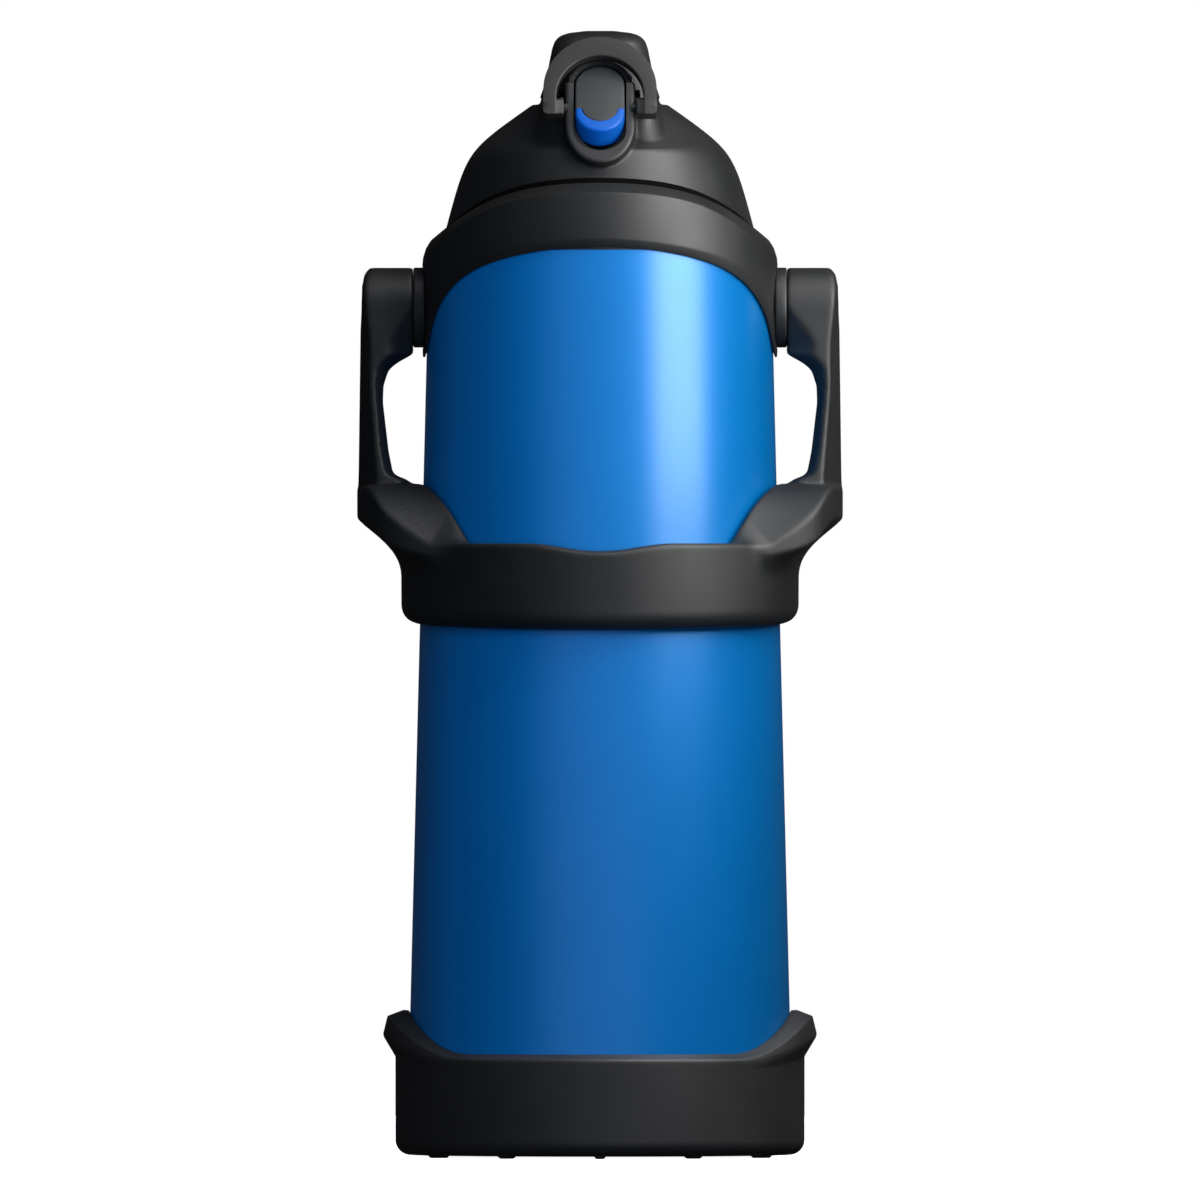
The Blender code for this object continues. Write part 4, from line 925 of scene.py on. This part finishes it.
class Finish:
    """A Principled material and the nodes that vary it over the surface."""

    def __init__(self, name, roughness, metallic=0.0):
        self.material = bpy.data.materials.new(name)
        self.material.use_nodes = True
        self.nodes = self.material.node_tree.nodes
        self.links = self.material.node_tree.links
        self.shader = self.nodes["Principled BSDF"]
        self.place = self.nodes.new("ShaderNodeTexCoord").outputs["Object"]
        self.set(Roughness=roughness, Metallic=metallic)

    def set(self, **values):
        """Set the shader's own sockets."""
        with_sockets(self.shader, values)
        return self

    def node(self, kind, **values):
        """A new node with some of its sockets set."""
        return with_sockets(self.nodes.new("ShaderNode" + kind), values)

    def noise(self, per_metre, detail=3.0, stretch=(1.0, 1.0, 1.0)):
        """Noise over the surface with so many features in a metre."""
        mapping = self.node("Mapping", Scale=stretch)
        self.links.new(self.place, mapping.inputs["Vector"])
        noise = self.node("TexNoise", Scale=per_metre, Detail=detail)
        self.links.new(mapping.outputs["Vector"], noise.inputs["Vector"])
        return noise.outputs["Fac"]

    def spread(self, value, low=0.0, high=1.0):
        """A value from 0.3 to 0.7 mapped to a range."""
        spread = self.node("MapRange", From_Min=0.3, From_Max=0.7, To_Min=low, To_Max=high)
        self.links.new(value, spread.inputs["Value"])
        return spread.outputs["Result"]

    def coloured(self, amount, first, second):
        """Vary the base colour between two colours."""
        mix = self.node("Mix")
        mix.data_type = "RGBA"
        with_sockets(mix, {"A": first, "B": second})
        self.links.new(amount, mix.inputs["Factor"])
        self.links.new(mix.outputs["Result"], self.shader.inputs["Base Color"])
        return self

    def roughened(self, amount, low, high):
        """Vary the roughness between two values."""
        self.links.new(self.spread(amount, low, high), self.shader.inputs["Roughness"])
        return self

    def bumped(self, heights):
        """Add relief, from pairs of a height value and its depth in millimetres."""
        normal = None
        for value, depth in heights:
            bump = self.node("Bump", Strength=1.0, Distance=depth * MM)
            self.links.new(value, bump.inputs["Height"])
            if normal:
                self.links.new(normal, bump.inputs["Normal"])
            normal = bump.outputs["Normal"]
        self.links.new(normal, self.shader.inputs["Normal"])
        return self


def blue_paint():
    """Satin powder paint under a clear coat, with a faint orange peel."""
    paint = Finish("blue_paint", 0.45, 0.35)
    paint.coloured(paint.spread(paint.noise(14.0)), linear(0, 103, 167), linear(0, 106, 172))
    paint.roughened(paint.noise(40.0), 0.43, 0.48)
    paint.bumped([(paint.noise(900.0, 2.0), 0.004), (paint.noise(260.0, 1.0), 0.008)])
    return paint.set(Coat_Weight=1.0, Coat_Roughness=0.3, Specular_IOR_Level=0.0).material


def moulded(name, dark, light, roughness, grain=0.012, per_metre=1500.0, shine=0.5):
    """Moulded plastic with a fine spark-eroded grain and faint flow marks."""
    plastic = Finish(name, roughness)
    wear = plastic.spread(plastic.noise(22.0, 5.0))
    plastic.coloured(wear, linear(*dark), linear(*light))
    plastic.roughened(plastic.noise(60.0, 4.0), roughness - 0.04, roughness + 0.04)
    plastic.bumped([(plastic.noise(per_metre, 2.0), grain), (plastic.noise(120.0, 2.0), grain * 0.8)])
    return plastic.set(Specular_IOR_Level=shine).material


def brushed_steel(name, stretch):
    """Stainless steel with brushing lines along the directions whose stretch is small."""
    steel = Finish(name, 0.3, 1.0)
    lines = steel.noise(1400.0, 3.0, stretch)
    steel.coloured(steel.spread(steel.noise(30.0)), linear(196, 196, 198), linear(208, 208, 210))
    steel.roughened(lines, 0.22, 0.38)
    return steel.bumped([(lines, 0.004)]).material


def silicone():
    """Milky soft silicone with a dusty skin."""
    rubber = Finish("milky_silicone", 0.55)
    rubber.coloured(rubber.spread(rubber.noise(60.0)), linear(208, 208, 205), linear(221, 221, 218))
    rubber.bumped([(rubber.noise(900.0), 0.01)])
    return rubber.set(Subsurface_Weight=0.25, Subsurface_Scale=0.002).material


def foam():
    """Moulded foam with beads."""
    beads = Finish("foam_beads", 0.9)
    cells = beads.node("TexVoronoi", Scale=450.0)
    beads.links.new(beads.place, cells.inputs["Vector"])
    beads.coloured(cells.outputs["Distance"], linear(232, 231, 224), linear(214, 213, 206))
    return beads.bumped([(cells.outputs["Distance"], 0.25)]).material


def crinkled_foil():
    """Bright crinkled foil."""
    foil = Finish("crinkled_foil", 0.25, 1.0)
    foil.coloured(foil.spread(foil.noise(50.0)), linear(214, 214, 216), linear(232, 232, 233))
    return foil.bumped([(foil.noise(160.0, 6.0), 0.4)]).material


PAINT = blue_paint()
BLACK = moulded("black_plastic", (17, 18, 18), (20, 21, 21), 0.52, shine=0.7)
GRIP = moulded("grip_plastic", (17, 18, 18), (20, 21, 21), 0.56, 0.02, shine=0.65)
BOOT = moulded("boot_rubber", (25, 25, 25), (28, 28, 28), 0.56, 0.02, shine=1.0)
INLAY = moulded("grey_inlay", (40, 42, 41), (44, 46, 45), 0.5, 0.01, 2200.0)
# Near-black matte finish for the strip that is painted shadow in the seam above the collar.
SHADOW_SEAM = moulded("painted_shadow_seam", (4, 4, 4), (6, 6, 6), 0.9, shine=0.05)
LINING = moulded("grey_plastic", (72, 74, 75), (78, 80, 81), 0.4, 0.006)
BLUE = moulded("blue_plastic", (0, 72, 150), (0, 76, 156), 0.45, 0.004, shine=0.3)
STEEL = brushed_steel("turned_steel", (0.05, 0.05, 1.0))
WIRE = brushed_steel("spring_wire", (1.0, 1.0, 1.0))
MILKY = silicone()
FOAM = foam()
FOIL = crinkled_foil()


# ---------------------------------------------------------------- putting the pieces on their bodies


def place(piece, finish, body, slot, *nodes, sharp=34.0):
    """Give a piece its finish and put it on its body, in place of the CAD nodes that it stands for."""
    piece.data.materials.clear()
    piece.data.materials.append(finish)
    piece.data.shade_smooth()
    piece.data.set_sharp_from_angle(angle=math.radians(sharp))
    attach(piece, body)
    if nodes:
        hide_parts(*nodes)
    return piece


def steel_above(piece, height):
    """Bare steel on the part of a piece above a height."""
    piece.data.materials.append(STEEL)
    for face in piece.data.polygons:
        if face.center.z > height * MM:
            face.material_index = 1


def finished_node(node, finish):
    """A finer finish on a CAD node whose shape stays."""
    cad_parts[node].data.materials.clear()
    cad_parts[node].data.materials.append(finish)


def body_pieces():
    """The jug's own pieces."""
    shell = place(outer_shell(), PAINT, "jug", "blue_paint", "outer_shell")
    steel_above(shell, SHOULDER_Z + SHOULDER_RISE - 0.6)
    place(neck_thread(), STEEL, "jug", "steel")
    place(tank(), STEEL, "jug", "steel", "inner_tank")
    place(base_plate(), STEEL, "jug", "steel", "outer_base")
    place(collar(), BLACK, "jug", "black_plastic", "collar", sharp=28.0)
    # A very dark strip on the collar's upper edge: painted shadow in the seam between lid and collar.
    place(around("collar_shadow_seam", shadow_seam_section), SHADOW_SEAM, "jug", "black_plastic")
    place(around("base_boot_skin", boot_section), BOOT, "jug", "boot_rubber", "base_boot", sharp=28.0)
    for index in range(len(RIB_DEGREES)):
        place(boot_rib(index), BOOT, "jug", "boot_rubber")
    low = SHOULDER_Z + SHOULDER_RISE + GAP
    ring = [(54.6, low + 0.8), (54.6, low), (NECK_R + 1.0, low), (NECK_R + 1.0, low + 0.8)]
    place(turned("snap_ring", ring, 0.2), STEEL, "jug", "steel", "collar_retaining_ring")
    for side, word in SIDES:
        place(washer(side, word), BLACK, "jug", "black_plastic", f"pivot_washer_{word}")
        place(screw(side, word), STEEL, "jug", "steel", f"pivot_screw_{word}")
    finished_node("vacuum_seal", STEEL)
    finished_node("getter_capsule", STEEL)
    finished_node("radiation_foil", FOIL)


def handle_pieces():
    """The handle and its covers."""
    place(carry_handle(), GRIP, "handle", "black_plastic", "carry_handle", sharp=60.0)
    for side, word in SIDES:
        place(cover(side, word), GRIP, "handle", "black_plastic", f"pivot_cap_{word}")


def lid_pieces():
    """The lid with what it carries."""
    place(lid_shell(), BLACK, "lid", "black_plastic", "lid_shell", sharp=60.0)
    for side, word in SIDES:
        place(hinge_knuckle(side, word), BLACK, "lid", "black_plastic")
        place(lock_hub(side, word), BLACK, "lid", "black_plastic")
    place(lid_lining(), LINING, "lid", "grey_plastic", "lid_inner")
    finished_node("lid_insulation", FOAM)
    place(drinking_spout(), LINING, "lid", "grey_plastic", "spout")
    place(spout_seal(), MILKY, "lid", "silicone", "spout_gasket")
    place(sealing_ring(), MILKY, "lid_seal", "silicone", "lid_gasket")
    r = HINGE_PIN_R
    pin = [(r, 11.7), (r, -11.7), (r - 0.2, -11.9), (0.0, -11.9), (0.0, 11.9), (r - 0.2, 11.9)]
    pin_piece = turned_about_x("hinge_pin", pin, 1, 0.0, HINGE, 48)
    place(pin_piece, STEEL, "lid", "steel", "cap_hinge_pin")
    hinge = Matrix.Translation((0.0, *HINGE)) @ AXIS_X
    spring = coil("hinge_spring", 2.1, 0.4, start=-3.6, length=7.2, turns=6.0, place=hinge)
    place(spring, WIRE, "lid", "steel", "cap_spring")
    push = BUTTON @ Matrix.Translation((0.0, SPRING_V, 0.0))
    spring = coil("push_spring", 2.5, 0.35, start=-15.4, length=8.4, turns=5.0, place=push)
    place(spring, WIRE, "lid", "steel", "button_spring")


def moving_lid_pieces():
    """The flip cap, the lock ring and the push button."""
    place(flip_cover(), BLACK, "cap", "black_plastic", "flip_cap", sharp=60.0)
    for side, word in SIDES:
        place(cap_knuckle(side, word), BLACK, "cap", "black_plastic")
    place(stopper_frame(), LINING, "cap", "grey_plastic", "cap_liner")
    place(stopper(), MILKY, "cap", "silicone", "cap_seal")
    place(lock_arch(), BLACK, "lock", "black_plastic", "lock_ring")
    place(button_body(), BLUE, "button", "blue_plastic", "push_button")
    place(button_inlay(), INLAY, "button", "grey_inlay", "button_plate")


# ---------------------------------------------------------------- studio


def floor():
    """A plain pale floor that the jug stands on."""
    mesh = bpy.data.meshes.new("floor")
    half = 1.4
    corners = [(-half, -half, 0), (half, -half, 0), (half, half, 0), (-half, half, 0)]
    mesh.from_pydata(corners, [], [(0, 1, 2, 3)])
    obj = linked("floor", mesh)
    pale = Finish("pale_floor", 0.9)
    pale.coloured(pale.spread(pale.noise(3.0)), linear(246, 246, 246), linear(250, 250, 250))
    pale.set(Emission_Color=linear(255, 255, 255), Emission_Strength=0.93)
    obj.data.materials.append(pale.material)
    obj.visible_glossy = False
    obj.visible_diffuse = False


def softbox(name, azimuth, height, distance, size, power, tilt=90.0):
    """A rectangular light, at an azimuth to the right of the front. A tilt below 90 turns it down."""
    light = bpy.data.lights.new(name, "AREA")
    light.shape = "RECTANGLE"
    light.size, light.size_y = size
    light.energy = power
    obj = linked(name, light)
    turn = math.radians(azimuth)
    obj.location = (distance * math.sin(turn), -distance * math.cos(turn), height)
    obj.rotation_euler = (math.radians(tilt), 0.0, turn)
    return obj


def surroundings():
    """A white backdrop for the camera, and a very dim studio for light and reflections."""
    world = bpy.data.worlds.new("studio")
    bpy.context.scene.world = world
    world.use_nodes = True
    nodes, links = world.node_tree.nodes, world.node_tree.links
    dim = nodes["Background"]
    white = nodes.new("ShaderNodeBackground")
    for background, strength in ((dim, 0.015), (white, 1.0)):
        with_sockets(background, {"Color": linear(255, 255, 255), "Strength": strength})
    path = nodes.new("ShaderNodeLightPath")
    mix = nodes.new("ShaderNodeMixShader")
    links.new(path.outputs["Is Camera Ray"], mix.inputs["Fac"])
    links.new(dim.outputs["Background"], mix.inputs[1])
    links.new(white.outputs["Background"], mix.inputs[2])
    links.new(mix.outputs["Shader"], nodes["World Output"].inputs["Surface"])


def camera():
    """A long lens level with the jug's middle, straight in front of it."""
    data = bpy.data.cameras.new("camera")
    obj = linked("camera", data)
    data.lens = 1500.0
    data.clip_end = 100.0
    distance = VIEW_WIDTH * MM * data.lens / data.sensor_width
    obj.location = (0.0, -distance, VIEW_CENTRE_Z * MM)
    obj.rotation_euler = (math.radians(90.0), 0.0, 0.0)
    bpy.context.scene.camera = obj


def studio():
    """Camera, floor and lights."""
    camera()
    floor()
    surroundings()
    softbox("key", 50.0, height=0.42, distance=0.36, size=(0.22, 0.36), power=2.35)
    softbox("top", 55.0, height=1.2, distance=0.5, size=(0.9, 0.5), power=7.0, tilt=25.0)
    for name, azimuth in (("front_fill", -4.0), ("back_fill", 176.0)):
        fill = softbox(name, azimuth, height=0.3, distance=2.4, size=(3.0, 3.0), power=84.0)
        fill.data.color = (0.85, 0.95, 1.25)
        fill.visible_glossy = False
    bpy.context.scene.view_settings.view_transform = "Standard"


body_pieces()
handle_pieces()
lid_pieces()
moving_lid_pieces()
studio()
